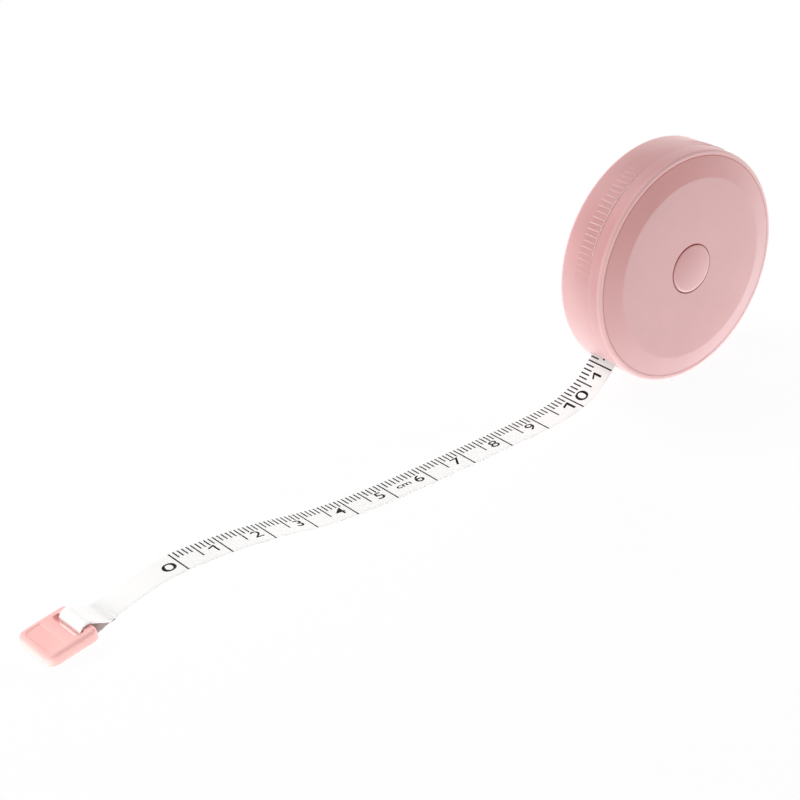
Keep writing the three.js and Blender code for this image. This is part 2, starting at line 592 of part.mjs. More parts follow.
const inCase = new THREE.Group();
inCase.position.z = CASE_RADIUS;
inCase.add(
  piece('front_shell', frontShell(), finishes.shell),
  piece('back_shell', backShell(), finishes.shell),
  piece('front_plate', revolveFront(facePlate(PLATE_HOLE), ROUND_STEPS), finishes.plate),
  piece('back_plate', revolve(facePlate(0), ROUND_STEPS), finishes.plate),
  piece('push_button', pushButton(), finishes.button),
  piece('button_spring', buttonSpring(), finishes.steel),
  piece('brake_disc', brakeDisc(), finishes.reel),
  piece('brake_ring', brakeRing(), finishes.rubber),
  piece('reel_drum', reelDrum(), finishes.reel),
  piece('reel_flange', reelFlange(), finishes.reel),
  piece('spring_cover', springCover(), finishes.reel),
  piece('power_spring', powerSpring(), finishes.steel),
  piece('tape_coil', tapeCoil(), finishes.tape),
  piece('tape_anchor', tapeAnchor(), finishes.steel),
);

// The tab hangs on the loop by its crossbar and rests on the tip of its nose.
const tab = piece('end_tab', endTab(), finishes.tab);
const noseDrop = BAR_HEIGHT - TAB_THICKNESS / 2 - TAB_FLOOR_GAP;
tab.position.set(BAR_X, 0, BAR_HEIGHT);
tab.rotation.y = Math.PI - Math.asin(noseDrop / (TAB_LENGTH - TAB_BAR / 2 - TAB_EDGE_ROUND));

const tapeMeasure = new THREE.Group();
tapeMeasure.add(inCase, piece('tape_run', tapeRun(), finishes.tape), tab);
tapeMeasure.updateMatrixWorld(true);

export default tapeMeasure;
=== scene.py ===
"""Push-button retractable tape measure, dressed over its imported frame.

Sizes are written in millimetres and turned into metres where a mesh is made.
"""

import logging
import math
from dataclasses import dataclass
from enum import Enum
from typing import Any, Callable, Iterable, Sequence

import bmesh
import bpy
from mathutils import Matrix, Vector
from mathutils.kdtree import KDTree


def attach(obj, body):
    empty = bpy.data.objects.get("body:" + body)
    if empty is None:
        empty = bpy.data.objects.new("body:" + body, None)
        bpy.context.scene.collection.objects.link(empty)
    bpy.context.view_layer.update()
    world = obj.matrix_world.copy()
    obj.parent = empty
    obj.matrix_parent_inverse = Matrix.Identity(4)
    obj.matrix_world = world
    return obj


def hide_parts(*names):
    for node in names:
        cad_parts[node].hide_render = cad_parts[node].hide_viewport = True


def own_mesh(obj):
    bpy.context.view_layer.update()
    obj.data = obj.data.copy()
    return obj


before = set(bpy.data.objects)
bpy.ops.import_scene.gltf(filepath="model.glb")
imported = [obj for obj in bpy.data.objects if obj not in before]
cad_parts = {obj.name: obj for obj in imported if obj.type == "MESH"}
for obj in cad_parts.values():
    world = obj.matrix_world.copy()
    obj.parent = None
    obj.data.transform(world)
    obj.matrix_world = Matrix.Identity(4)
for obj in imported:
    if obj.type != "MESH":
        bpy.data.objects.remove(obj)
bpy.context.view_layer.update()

LOG = logging.getLogger("tape_measure")
MM = 0.001
TINY = 1e-9
SAME_PLACE = 1e-6
AXIS_HEIGHT = 25.3
RIB_PATCHES = (140.0, 45.0)
WHITE = (1.0, 1.0, 1.0, 1.0)
BLACK = (0.0, 0.0, 0.0, 1.0)

Piece = bpy.types.Object
Stuff = bpy.types.Material
Flat = tuple[float, float]
Place = tuple[float, float, float]
Corner = tuple[float, float, float]
Colour = tuple[float, float, float]
Light = tuple[float, float, float, float]


class Body(Enum):
    """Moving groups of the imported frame."""

    CASING = "casing"
    BUTTON = "button"
    REEL = "reel"
    TAPE = "tape"
    TAB = "tab"


class Slot(Enum):
    """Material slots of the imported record."""

    CASE = "case_plastic"
    PLATE = "plate_plastic"
    BUTTON = "button_plastic"
    TAB = "tab_plastic"
    REEL = "reel_plastic"
    STEEL = "spring_steel"
    RUBBER = "brake_rubber"
    TAPE = "tape_fabric"


class Side(Enum):
    """The two faces of the case, by the way that they look along the axis."""

    FRONT = -1.0
    BACK = 1.0

    @property
    def word(self) -> str:
        """The side's word in the names of pieces and nodes."""
        return self.name.lower()


def linear(colour: Colour, gain: float = 1.0, lift: float = 0.0) -> Light:
    """Turn a display colour into the light values that a shader takes.

    Args:
        colour: Red, green and blue from 0 to 1, as a screen shows them.
        gain: How much stronger the colour is made first.
        lift: How much is then added to it.

    Returns:
        The colour in linear light, with full alpha.
    """
    shown = [min(1.0, c * gain + lift) for c in colour]
    red, green, blue = (c / 12.92 if c <= 0.04045 else ((c + 0.055) / 1.055) ** 2.4 for c in shown)
    return (red, green, blue, 1.0)


class Wire:
    """One output of a shader node, with the sums that patterns are written in."""

    def __init__(self, board: "Board", socket: bpy.types.NodeSocket) -> None:
        """Keep the board and the socket."""
        self.board = board
        self.socket = socket

    def __add__(self, other: Any) -> "Wire":
        """Add a number or another wire."""
        return self.board.maths("ADD", self, other)

    __radd__ = __add__

    def __sub__(self, other: Any) -> "Wire":
        """Take a number or another wire away."""
        return self.board.maths("SUBTRACT", self, other)

    def __rsub__(self, other: Any) -> "Wire":
        """Take this wire away from a number."""
        return self.board.maths("SUBTRACT", other, self)

    def __mul__(self, other: Any) -> "Wire":
        """Multiply by a number or another wire."""
        return self.board.maths("MULTIPLY", self, other)

    __rmul__ = __mul__

    def __pow__(self, other: Any) -> "Wire":
        """Raise to a power."""
        return self.board.maths("POWER", self, other)

    def sine(self) -> "Wire":
        """The sine of this value."""
        return self.board.maths("SINE", self)

    def above(self, limit: float) -> "Wire":
        """One where this value is over the limit, and nought elsewhere."""
        return self.board.maths("GREATER_THAN", self, limit)


class Board:
    """A node tree that a finish is wired on.

    A Mix node's colour sockets go by number, because its sockets for other kinds share their names.
    """

    FIRST_COLOUR = 6
    SECOND_COLOUR = 7
    MIXED_COLOUR = 2

    def __init__(self, tree: bpy.types.NodeTree) -> None:
        """Start from an empty tree."""
        self.tree = tree
        self.tree.nodes.clear()

    def node(self, kind: str, settings: dict[str, Any] | None = None,
             sockets: dict[Any, Any] | None = None, out: int | str = 0) -> Wire:
        """Add a node.

        Args:
            kind: The node's type.
            settings: Its properties.
            sockets: Values or wires for its inputs, by name or number.
            out: The output to return.

        Returns:
            A wire from that output.
        """
        made = self.tree.nodes.new(kind)
        for key, value in (settings or {}).items():
            setattr(made, key, value)
        for key, value in (sockets or {}).items():
            if isinstance(value, Wire):
                self.tree.links.new(value.socket, made.inputs[key])
            else:
                made.inputs[key].default_value = value
        return Wire(self, made.outputs[out] if made.outputs else made.inputs[0])

    def maths(self, operation: str, *values: Any) -> Wire:
        """Add a Math node over wires and numbers."""
        return self.node("ShaderNodeMath", {"operation": operation}, dict(enumerate(values)))

    def ramp(self, value: Wire, slope: float, start: float) -> Wire:
        """A slope over a value, kept between 0 and 1."""
        settings = {"operation": "MULTIPLY_ADD", "use_clamp": True}
        return self.node("ShaderNodeMath", settings, {0: value, 1: slope, 2: start})

    def vector(self, operation: str, *values: Any, out: int | str = 0) -> Wire:
        """Add a Vector Math node over wires and vectors."""
        return self.node("ShaderNodeVectorMath", {"operation": operation}, dict(enumerate(values)), out)

    def split(self, vector: Wire) -> list[Wire]:
        """The three parts of a vector."""
        ends = self.node("ShaderNodeSeparateXYZ", None, {0: vector}).socket.node.outputs
        return [Wire(self, end) for end in ends]

    def mix(self, share: Any, first: Any, second: Any) -> Wire:
        """Mix two colours.

        Args:
            share: How much of the second colour there is, from 0 to 1.
            first: A colour, or a wire of one.
            second: Another.

        Returns:
            A wire of the mixed colour.
        """
        settings = {"data_type": "RGBA", "clamp_factor": True}
        sockets = {0: share, self.FIRST_COLOUR: first, self.SECOND_COLOUR: second}
        return self.node("ShaderNodeMix", settings, sockets, self.MIXED_COLOUR)

    def place(self) -> Wire:
        """The place on the piece, in metres."""
        return self.node("ShaderNodeTexCoord", out="Object")

    def noise(self, where: Wire, size_mm: float, detail: float = 2.0, rough: float = 0.5) -> Wire:
        """A cloudy pattern from 0 to 1 with features of about that size."""
        values = {"Vector": where, "Scale": 1.0 / (size_mm * MM), "Detail": detail, "Roughness": rough}
        return self.node("ShaderNodeTexNoise", None, values, "Fac")

    def bump(self, height: Wire, strength: float, depth_mm: float) -> Wire:
        """A bumped normal from a height pattern."""
        values = {"Strength": strength, "Distance": depth_mm * MM, "Height": height}
        return self.node("ShaderNodeBump", None, values, "Normal")


def new_material(name: str) -> tuple[Stuff, Board]:
    """Make an empty material.

    Args:
        name: Its name.

    Returns:
        The material and the board for its nodes.
    """
    material = bpy.data.materials.new(name)
    material.use_nodes = True
    return material, Board(material.node_tree)


@dataclass(frozen=True)
class Finish:
    """A finish in one main colour, on a material of its own."""

    name: str
    colour: Colour

    def wire(self, board: Board) -> dict[str, Any]:
        """The values and wires for the shader's sockets, which each finish gives."""
        raise NotImplementedError

    def make(self) -> Stuff:
        """Make the material and wire the finish on it.

        Returns:
            The material.
        """
        material, board = new_material(self.name)
        shader = board.node("ShaderNodeBsdfPrincipled", None, self.wire(board))
        board.node("ShaderNodeOutputMaterial", None, {"Surface": shader})
        return material


@dataclass(frozen=True)
class MouldedPlastic(Finish):
    """Moulded plastic: faint flow marks, a satin grain, painted highlights on sharp edges and a painted lit
    side.

    The lit side is painted paler: its share follows the place along a direction from the reel's axis,
    is middle on the axis, and a half more where that measure is reach.
    """

    roughness: float = 0.42
    # The tone of the side that is painted paler as if lit; none on mouldings without one.
    pale: Colour | None = None
    flow: float = 0.035
    flow_mm: float = 9.0
    speck_mm: float = 0.6
    speck_share: float = 0.2
    gloss_drift: Flat = (0.10, 0.06)
    grain_mm: float = 0.22
    grain: Flat = (0.12, 0.02)
    # How strongly sharp edges are painted paler as highlights, how pale, how much glossier, and whether only
    # on the lit side.
    edge_light: float = 0.10
    edge_pale: float = 0.3
    edge_gloss: float = 0.08
    edge_side: bool = False
    # How much rougher the painted shade in gaps makes the surface.
    soil_dulls: float = 0.4
    coat: float = 0.0
    coat_ior: float = 1.5
    coat_roughness: float = 0.3
    # How far the painted lit side spreads, its share on the axis, and the direction towards it.
    reach: float = 22.0
    middle: float = 0.5
    sweep: Place = (0.5, 0.0, -0.87)

    def clouded(self, board: Board, colour: Colour, cloud: Wire) -> Wire:
        """A colour that drifts a little lighter and darker with the flow of the plastic."""
        return board.mix(cloud, linear(colour, 1.0 - self.flow), linear(colour, 1.0 + self.flow))

    def off_axis(self, board: Board, where: Wire) -> Wire:
        """The place measured from the reel's axis."""
        return board.vector("SUBTRACT", where, (0.0, 0.0, AXIS_HEIGHT * MM))

    def share(self, board: Board, where: Wire) -> Wire:
        """How far a place lies towards the side that is painted paler as if lit, from 0 to 1."""
        slant = board.vector("DOT_PRODUCT", self.off_axis(board, where), self.sweep, out="Value")
        return slant * (0.5 / (self.reach * MM)) + self.middle

    def within(self, board: Board, off: Wire, limit: float, blur: float) -> Wire:
        """One within a limit and nought beyond it, with a soft edge."""
        return board.ramp(board.maths("ABSOLUTE", off), -1.0 / blur, limit / blur + 0.5)

    def zoned(self, board: Board, where: Wire, cloud: Wire) -> Wire:
        """The tone in each zone of the piece: plain mouldings are painted paler towards their lit side.

        Args:
            board: The finish's board.
            where: The place on the piece.
            cloud: The pattern of the plastic's flow.

        Returns:
            The tone.
        """
        tone = self.clouded(board, self.colour, cloud)
        if self.pale is None:
            return tone
        return board.mix(self.share(board, where), tone, self.clouded(board, self.pale, cloud))

    def soil(self, board: Board, where: Wire) -> Any:
        """How much painted shade lies at a place and dulls it: none on plain mouldings."""
        return 0.0

    def wire(self, board: Board) -> dict[str, Any]:
        """Wire the tone with its painted edge highlights, the gloss and the grain.

        Args:
            board: The finish's board.

        Returns:
            The values and wires for the shader's sockets.
        """
        where = board.place()
        drift = board.noise(where, self.flow_mm, detail=3.0)
        specks = board.noise(where, self.speck_mm)
        edge = board.node("ShaderNodeAttribute", {"attribute_name": "edge"}, None, "Fac")
        cloud = drift * (1.0 - self.speck_share) + specks * self.speck_share
        # Painted highlight: sharp edges are painted paler, only on the lit side when asked.
        painted_highlight = edge * self.edge_light
        if self.edge_side:
            painted_highlight = painted_highlight * self.share(board, where) ** 2.0
        light = linear(self.colour, 1.0 - self.edge_pale, self.edge_pale)
        soil = self.soil(board, where)
        by_drift, by_specks = self.gloss_drift
        gloss = self.roughness + (drift - 0.5) * by_drift + (specks - 0.5) * by_specks
        grain = board.noise(where, self.grain_mm, rough=0.6)
        return {"Base Color": board.mix(painted_highlight, self.zoned(board, where, cloud), light),
                "Roughness": gloss - edge * self.edge_gloss + soil * self.soil_dulls,
                "Coat Weight": self.coat * (1.0 - soil), "Coat Roughness": self.coat_roughness,
                "Coat IOR": self.coat_ior, "Normal": board.bump(grain, *self.grain)}


@dataclass(frozen=True)
class FacePlastic(MouldedPlastic):
    """Moulded plastic of a round face, duller on the flat than on the bevel, painted paler on its lit side,
    with painted shade in its gaps.

    The button's gap and the groove are each given by their middle radius and half their width.
    """

    face: Colour = (0.780, 0.600, 0.602)
    # The flat face's tone on its side that is painted paler as if lit.
    face_pale: Colour = (0.848, 0.662, 0.662)
    face_radius: float = 19.75
    blend: float = 0.35
    gap: Flat = (5.33, 0.14)
    groove: Flat = (24.17, 0.14)
    # Dark red painted shade in the gaps: its tone, its soft edge and its strongest share.
    grime: Colour = (0.66, 0.14, 0.12)
    grime_blur: float = 0.08
    grime_most: float = 0.95

    def radius(self, board: Board, where: Wire) -> Wire:
        """How far a place lies from the reel's axis."""
        flat = board.vector("MULTIPLY", self.off_axis(board, where), (1.0, 0.0, 1.0))
        return board.vector("LENGTH", flat, out="Value")

    def soil(self, board: Board, where: Wire) -> Wire:
        """How much painted shade lies at a place: in the button's gap on the front and in the groove, on the
        shaded side.

        Args:
            board: The finish's board.
            where: The place on the piece.

        Returns:
            The share of painted shade.
        """
        radius = self.radius(board, where)
        front = 1.0 - board.split(where)[1].above(0.0)
        gap, groove = (self.within(board, radius - middle * MM, half * MM, self.grime_blur * MM)
                       for middle, half in (self.gap, self.groove))
        return (gap * front + groove) * (1.0 - self.share(board, where)) * self.grime_most

    def zoned(self, board: Board, where: Wire, cloud: Wire) -> Wire:
        """The bevel's tones outside the flat face, the face's own tones inside, both painted paler on the
        lit side, and painted shade in the gaps.

        Args:
            board: The finish's board.
            where: The place on the piece.
            cloud: The pattern of the plastic's flow.

        Returns:
            The tone.
        """
        inside = 0.5 + (self.face_radius * MM - self.radius(board, where)) * (1.0 / (self.blend * MM))
        face, face_pale = (self.clouded(board, c, cloud) for c in (self.face, self.face_pale))
        flat_tone = board.mix(self.share(board, where), face, face_pale)
        tone = board.mix(inside, super().zoned(board, where, cloud), flat_tone)
        return board.mix(self.soil(board, where), tone, linear(self.grime))


@dataclass(frozen=True)
class GripPlastic(MouldedPlastic):
    """Moulded plastic of the rim, with painted shade between the grip ribs and lips round the faces painted
    paler as if lit.
    """

    # The darker tone painted between the ribs as their shade, and its share.
    grime: Colour = (0.730, 0.520, 0.515)
    grime_share: float = 0.8
    patch_half: float = 31.0
    patch_blur: float = 14.0
    rows: Flat = (-2.2, 1.45)
    row_blur: float = 0.5
    lip_row: float = 5.15
    # The lips' tone, painted paler as if lit, its share everywhere and how fast it grows on the lit side.
    lip_pale: Colour = (0.95, 0.75, 0.745)
    lip_share: float = 0.35
    lip_gain: float = 2.2

    def zoned(self, board: Board, where: Wire, cloud: Wire) -> Wire:
        """The rim's tone, painted darker in the fields of the ribs as their shade, and painted paler on the
        lips, most on the lit side.

        Args:
            board: The finish's board.
            where: The place on the piece.
            cloud: The pattern of the plastic's flow.

        Returns:
            The tone.
        """
        across, along, up = board.split(self.off_axis(board, where))
        turn = board.maths("ARCTAN2", up, across)
        half, blur = math.radians(self.patch_half), math.radians(self.patch_blur)
        patches = [self.within(board, turn - math.radians(middle), half, blur) for middle in RIB_PATCHES]
        low, high = (row * MM for row in self.rows)
        rows = self.within(board, along - (low + high) / 2.0, (high - low) / 2.0, self.row_blur * MM)
        # Painted shade in the fields of the ribs.
        shaded_field = sum(patches[1:], patches[0]) * rows * self.grime_share
        tone = board.mix(shaded_field, super().zoned(board, where, cloud), self.clouded(board, self.grime, cloud))
        # Painted light: the lips are painted paler, more towards the lit side.
        lit_side = board.ramp(self.share(board, where), self.lip_gain, -self.lip_gain)
        lip = 1.0 - self.within(board, along, self.lip_row * MM, self.row_blur * MM)
        lit_share = lip * (self.lip_share + lit_side * (1.0 - self.lip_share))
        return board.mix(lit_share, tone, self.clouded(board, self.lip_pale, cloud))


@dataclass(frozen=True)
class CoatedTape(Finish):
    """Coated woven tape: thread by thread relief under a satin white coat."""

    thread_mm: float = 0.30
    haze_mm: float = 4.0
    fuzz_mm: float = 0.5
    shade: float = 0.985
    weave_share: float = 0.4
    fuzz_share: float = 0.2
    roughness: float = 0.50
    gloss_drift: Flat = (0.12, 0.06)
    relief: Flat = (0.05, 0.03)

    def wire(self, board: Board) -> dict[str, Any]:
        """Wire the weave on the tape's own map, which runs along and across it in metres.

        Args:
            board: The finish's board.

        Returns:
            The values and wires for the shader's sockets.
        """
        chart = board.node("ShaderNodeUVMap", {"uv_map": "along"}, None, "UV")
        along, across, _ = board.split(chart)
        turn = 2.0 * math.pi / (self.thread_mm * MM)
        weave = (along * turn).sine() * (across * turn).sine() * 0.5 + 0.5
        haze = board.noise(chart, self.haze_mm, detail=3.0)
        fuzz = board.noise(chart, self.fuzz_mm)
        cover = haze * (1.0 - self.weave_share) + weave * self.weave_share
        by_haze, by_weave = self.gloss_drift
        relief = weave * (1.0 - self.fuzz_share) + fuzz * self.fuzz_share
        return {"Base Color": board.mix(cover, linear(self.colour, self.shade), linear(self.colour)),
                "Roughness": self.roughness + (haze - 0.5) * by_haze + (1.0 - weave) * by_weave,
                "Normal": board.bump(relief, *self.relief)}


@dataclass(frozen=True)
class PrintInk(Finish):
    """Printed ink: near black, a little thin in places."""

    patch_mm: float = 0.7
    thin: float = 0.07
    roughness: float = 0.48
    gloss_drift: float = 0.15
    shine: float = 0.12
    relief: Flat = (0.1, 0.01)

    def wire(self, board: Board) -> dict[str, Any]:
        """Wire the thin patches.

        Args:
            board: The finish's board.

        Returns:
            The values and wires for the shader's sockets.
        """
        patches = board.noise(board.place(), self.patch_mm, detail=3.0, rough=0.7)
        tone = board.mix(patches ** 2.0, linear(self.colour), linear(self.colour, lift=self.thin))
        return {"Base Color": tone, "Roughness": self.roughness + patches * self.gloss_drift,
                "Specular IOR Level": self.shine, "Normal": board.bump(patches, *self.relief)}


@dataclass(frozen=True)
class BrightSteel(Finish):
    """Drawn or rolled spring steel with fine lines along the strip."""

    roughness: float = 0.28
    gloss_drift: float = 0.2
    line_mm: float = 0.8
    stretch: Place = (1.0, 12.0, 1.0)
    cool: Colour = (0.86, 0.90, 0.97)
    relief: Flat = (0.12, 0.01)

    def wire(self, board: Board) -> dict[str, Any]:
        """Wire the drawn lines.

        Args:
            board: The finish's board.

        Returns:
            The values and wires for the shader's sockets.
        """
        where = board.node("ShaderNodeMapping", None, {"Vector": board.place(), "Scale": self.stretch})
        lines = board.noise(where, self.line_mm, detail=4.0, rough=0.65)
        blue = linear(tuple(c * f for c, f in zip(self.colour, self.cool)))
        return {"Base Color": board.mix(lines, blue, linear(self.colour)), "Metallic": 1.0,
                "Roughness": self.roughness + (lines - 0.5) * self.gloss_drift,
                "Normal": board.bump(lines, *self.relief)}


@dataclass(frozen=True)
class MattRubber(Finish):
    """Dark moulded rubber, dusty and rough."""

    dust_mm: float = 1.2
    dust_pale: float = 0.07
    pore_mm: float = 0.15
    roughness: float = 0.78
    gloss_drift: float = 0.15
    relief: Flat = (0.3, 0.03)

    def wire(self, board: Board) -> dict[str, Any]:
        """Wire the dust and the pores.

        Args:
            board: The finish's board.

        Returns:
            The values and wires for the shader's sockets.
        """
        where = board.place()
        dust = board.noise(where, self.dust_mm, detail=4.0, rough=0.7)
        tone = board.mix(dust ** 2.0, linear(self.colour), linear(self.colour, lift=self.dust_pale))
        return {"Base Color": tone, "Roughness": self.roughness + dust * self.gloss_drift,
                "Normal": board.bump(board.noise(where, self.pore_mm), *self.relief)}


class Bench:
    """Hand operations on meshes, one piece at a time.

    Points closer than MERGE and faces thinner than SLIVER, in metres, are merged. An edge that bends
    by SHARP, in radians, gets the full painted highlight. Shading stays sharp past the creases, in degrees.
    """

    MERGE = 1e-6
    SLIVER = 1e-7
    SHARP = 0.6
    HARD_CREASE = 32.0
    SOFT_CREASE = 40.0

    @staticmethod
    def clear() -> None:
        """Leave edit mode and deselect everything."""
        if bpy.context.object and bpy.context.object.mode != "OBJECT":
            bpy.ops.object.mode_set(mode="OBJECT")
        bpy.ops.object.select_all(action="DESELECT")

    @staticmethod
    def take(piece: Piece) -> None:
        """Make a piece the only selected one.

        Args:
            piece: The piece to work on.
        """
        Bench.clear()
        piece.select_set(True)
        bpy.context.view_layer.objects.active = piece

    @staticmethod
    def edit(piece: Piece) -> None:
        """Take a piece into edit mode, with all of it selected.

        Args:
            piece: The piece to work on.
        """
        Bench.take(piece)
        bpy.ops.object.mode_set(mode="EDIT")
        bpy.ops.mesh.select_all(action="SELECT")

    @staticmethod
    def named(name: str) -> Piece:
        """Name the piece that is in hand, and its mesh.

        Args:
            name: The piece's name.

        Returns:
            The piece.
        """
        piece = bpy.context.object
        piece.name = name
        piece.data.name = name
        return piece

    @staticmethod
    def square(name: str) -> Piece:
        """Add a unit square to work from.

        Args:
            name: The piece's name.

        Returns:
            The piece.
        """
        Bench.clear()
        bpy.ops.mesh.primitive_plane_add(size=1.0, location=(0.0, 0.0, 0.0))
        return Bench.named(name)

    @staticmethod
    def copied(pattern: Piece) -> Piece:
        """Copy a piece with a mesh of its own.

        Args:
            pattern: The piece to copy.

        Returns:
            The copy.
        """
        copy = pattern.copy()
        copy.data = pattern.data.copy()
        bpy.context.collection.objects.link(copy)
        return copy

    @staticmethod
    def trace(name: str, corners: Sequence[Vector], closed: bool) -> Piece:
        """Draw a line by extruding one corner from place to place.

        Args:
            name: The piece's name.
            corners: The places in turn, in metres.
            closed: Whether the line comes back to its start.

        Returns:
            The piece, a line of edges.
        """
        piece = Bench.square(name)
        bpy.ops.object.mode_set(mode="EDIT")
        bpy.ops.mesh.merge(type="CENTER")
        bpy.ops.transform.translate(value=corners[0])
        stops = list(corners) + ([corners[0]] if closed else [])
        for before, after in zip(stops, stops[1:]):
            bpy.ops.mesh.extrude_vertices_move(TRANSFORM_OT_translate={"value": after - before})
        bpy.ops.mesh.select_all(action="SELECT")
        bpy.ops.mesh.remove_doubles(threshold=Bench.MERGE)
        bpy.ops.object.mode_set(mode="OBJECT")
        return piece

    @staticmethod
    def band(name: str, corners: Sequence[Vector], width: float, columns: int, thickness: float) -> Piece:
        """Draw a line, widen it along Y and thicken it to both sides.

        Args:
            name: The piece's name.
            corners: The places of its edge in turn, in metres.
            width: How wide it is, in millimetres.
            columns: Faces across the width.
            thickness: How thick it is, in millimetres.

        Returns:
            The piece.
        """
        piece = Bench.trace(name, corners, closed=False)
        Bench.edit(piece)
        step = (0.0, width / columns * MM, 0.0)
        for _ in range(columns):
            bpy.ops.mesh.extrude_region_move(TRANSFORM_OT_translate={"value": step})
        bpy.ops.object.mode_set(mode="OBJECT")
        Bench.apply(piece, "SOLIDIFY", {"thickness": thickness * MM, "offset": 0.0})
        return piece

    @staticmethod
    def turned(name: str, profile: Iterable[Flat], centre: Vector, steps: int) -> Piece:
        """Turn a closed profile round an axis along Y into a closed skin.

        Args:
            name: The piece's name.
            profile: Radius and place along the axis of each corner, in millimetres.
            centre: A point on the axis, in metres.
            steps: How many steps make the round.

        Returns:
            The piece.
        """
        corners = [centre + Vector((radius * MM, along * MM, 0.0)) for radius, along in profile]
        piece = Bench.trace(name, corners, closed=True)
        Bench.edit(piece)
        bpy.ops.mesh.spin(steps=steps, angle=2.0 * math.pi, center=centre, axis=(0.0, 1.0, 0.0))
        Bench.tidy()
        return piece

    @staticmethod
    def tidy() -> None:
        """Merge doubles, turn every face outwards and leave edit mode."""
        bpy.ops.mesh.select_all(action="SELECT")
        bpy.ops.mesh.remove_doubles(threshold=Bench.MERGE)
        bpy.ops.mesh.dissolve_degenerate(threshold=Bench.SLIVER)
        bpy.ops.mesh.select_all(action="SELECT")
        bpy.ops.mesh.normals_make_consistent(inside=False)
        bpy.ops.object.mode_set(mode="OBJECT")

    @staticmethod
    def fill(piece: Piece, along: Vector | None = None) -> None:
        """Fill a closed line with a face, and raise the face into a block if a way is given.

        Args:
            piece: The line.
            along: How far the face is raised, in metres.
        """
        Bench.edit(piece)
        bpy.ops.mesh.edge_face_add()
        if along is None:
            bpy.ops.object.mode_set(mode="OBJECT")
        else:
            bpy.ops.mesh.extrude_region_move(TRANSFORM_OT_translate={"value": along})
            Bench.tidy()

    @staticmethod
    def apply(piece: Piece, kind: str, settings: dict[str, Any]) -> None:
        """Add a modifier and apply it.

        Args:
            piece: The piece to work on.
            kind: The modifier's type.
            settings: Its properties.
        """
        Bench.take(piece)
        modifier = piece.modifiers.new(kind.lower(), kind)
        for key, value in settings.items():
            setattr(modifier, key, value)
        bpy.ops.object.modifier_apply(modifier=modifier.name)

    @staticmethod
    def bevel(piece: Piece, width: float, segments: int, degrees: float = 50.0) -> None:
        """Round the edges that bend by more than an angle, to a width in millimetres."""
        settings = {"width": width * MM, "segments": segments, "limit_method": "ANGLE"}
        Bench.apply(piece, "BEVEL", settings | {"angle_limit": math.radians(degrees)})

    @staticmethod
    def cut(piece: Piece, cutter: Piece) -> None:
        """Take a cutter's shape out of a piece."""
        Bench.apply(piece, "BOOLEAN", {"operation": "DIFFERENCE", "object": cutter, "solver": "EXACT"})

    @staticmethod
    def discard(piece: Piece) -> None:
        """Delete a cutter or a pattern that has done its work."""
        Bench.take(piece)
        bpy.ops.object.delete()

    @staticmethod
    def join(name: str, parts: Sequence[Piece]) -> Piece:
        """Join parts into one piece.

        Args:
            name: The piece's name.
            parts: What it is joined from.

        Returns:
            The piece.
        """
        Bench.take(parts[0])
        for part in parts:
            part.select_set(True)
        bpy.ops.object.join()
        return Bench.named(name)

    @staticmethod
    def smooth(piece: Piece, degrees: float = HARD_CREASE) -> None:
        """Shade smooth across all but sharp edges."""
        Bench.take(piece)
        bpy.ops.object.shade_smooth_by_angle(angle=math.radians(degrees))

    @staticmethod
    def mark_edges(piece: Piece, lit_share: Callable[[Vector], float] | None = None) -> None:
        """Store how sharply each point stands out, as the attribute that the finishes paint as edge
        highlights.

        Args:
            piece: The finished mesh.
            lit_share: How much of the painted highlight a place gets, if it isn't the same all over.
        """
        sheet = bmesh.new()
        sheet.from_mesh(piece.data)
        sharp = [max([e.calc_face_angle_signed(0.0) for e in v.link_edges] or [0.0]) for v in sheet.verts]
        if lit_share:
            sharp = [bend * lit_share(v.co) for bend, v in zip(sharp, sheet.verts)]
        sheet.free()
        store = piece.data.attributes.new("edge", "FLOAT", "POINT")
        store.data.foreach_set("value", [min(1.0, max(0.0, bend / Bench.SHARP)) for bend in sharp])


def square_cornered(*points: Flat) -> list[Corner]:
    """Corners of an outline that aren't rounded."""
    return [(x, y, 0.0) for x, y in points]


def rounded(corners: Iterable[Corner], steps: int = 6) -> list[Flat]:
    """Round the corners of a closed flat outline.

    Args:
        corners: Each corner's two places and its radius.
        steps: How many steps make one round.

    Returns:
        The outline's points.
    """
    most = 0.98
    points: list[Flat] = []
    known = list(corners)
    for i, (x, y, radius) in enumerate(known):
        here = Vector((x, y))
        if radius <= 0.0:
            points.append((x, y))
            continue
        sides = []
        for other in (known[i - 1], known[(i + 1) % len(known)]):
            way = Vector(other[:2]) - here
            sides.append((way, way.length * radius / (radius + other[2])))
        (before, room_before), (after, room_after) = sides
        back = min(radius / math.tan(before.angle(after) / 2.0), most * min(room_before, room_after))
        start, end = here + before.normalized() * back, here + after.normalized() * back
        for k in range(steps + 1):
            t = k / steps
            spot = start * (1 - t) ** 2 + here * 2 * t * (1 - t) + end * t ** 2
            points.append((spot.x, spot.y))
    return points


def polar(centre: Flat, radius: float, angle: float) -> Vector:
    """A point in side view at a radius and an angle round a centre."""
    return Vector((centre[0] + radius * math.cos(angle), centre[1] + radius * math.sin(angle)))


def dress(piece: Piece, finish: Stuff, body: Body, stands_for: str | None = None) -> Piece:
    """Give a piece its finish, its body and the node that it stands for.

    Args:
        piece: The finished piece.
        finish: Its material.
        body: The group that it moves with.
        stands_for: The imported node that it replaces, if any.

    Returns:
        The same piece.
    """
    piece.data.materials.clear()
    piece.data.materials.append(finish)
    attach(piece, body.value)
    if stands_for:
        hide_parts(stands_for)
    return piece


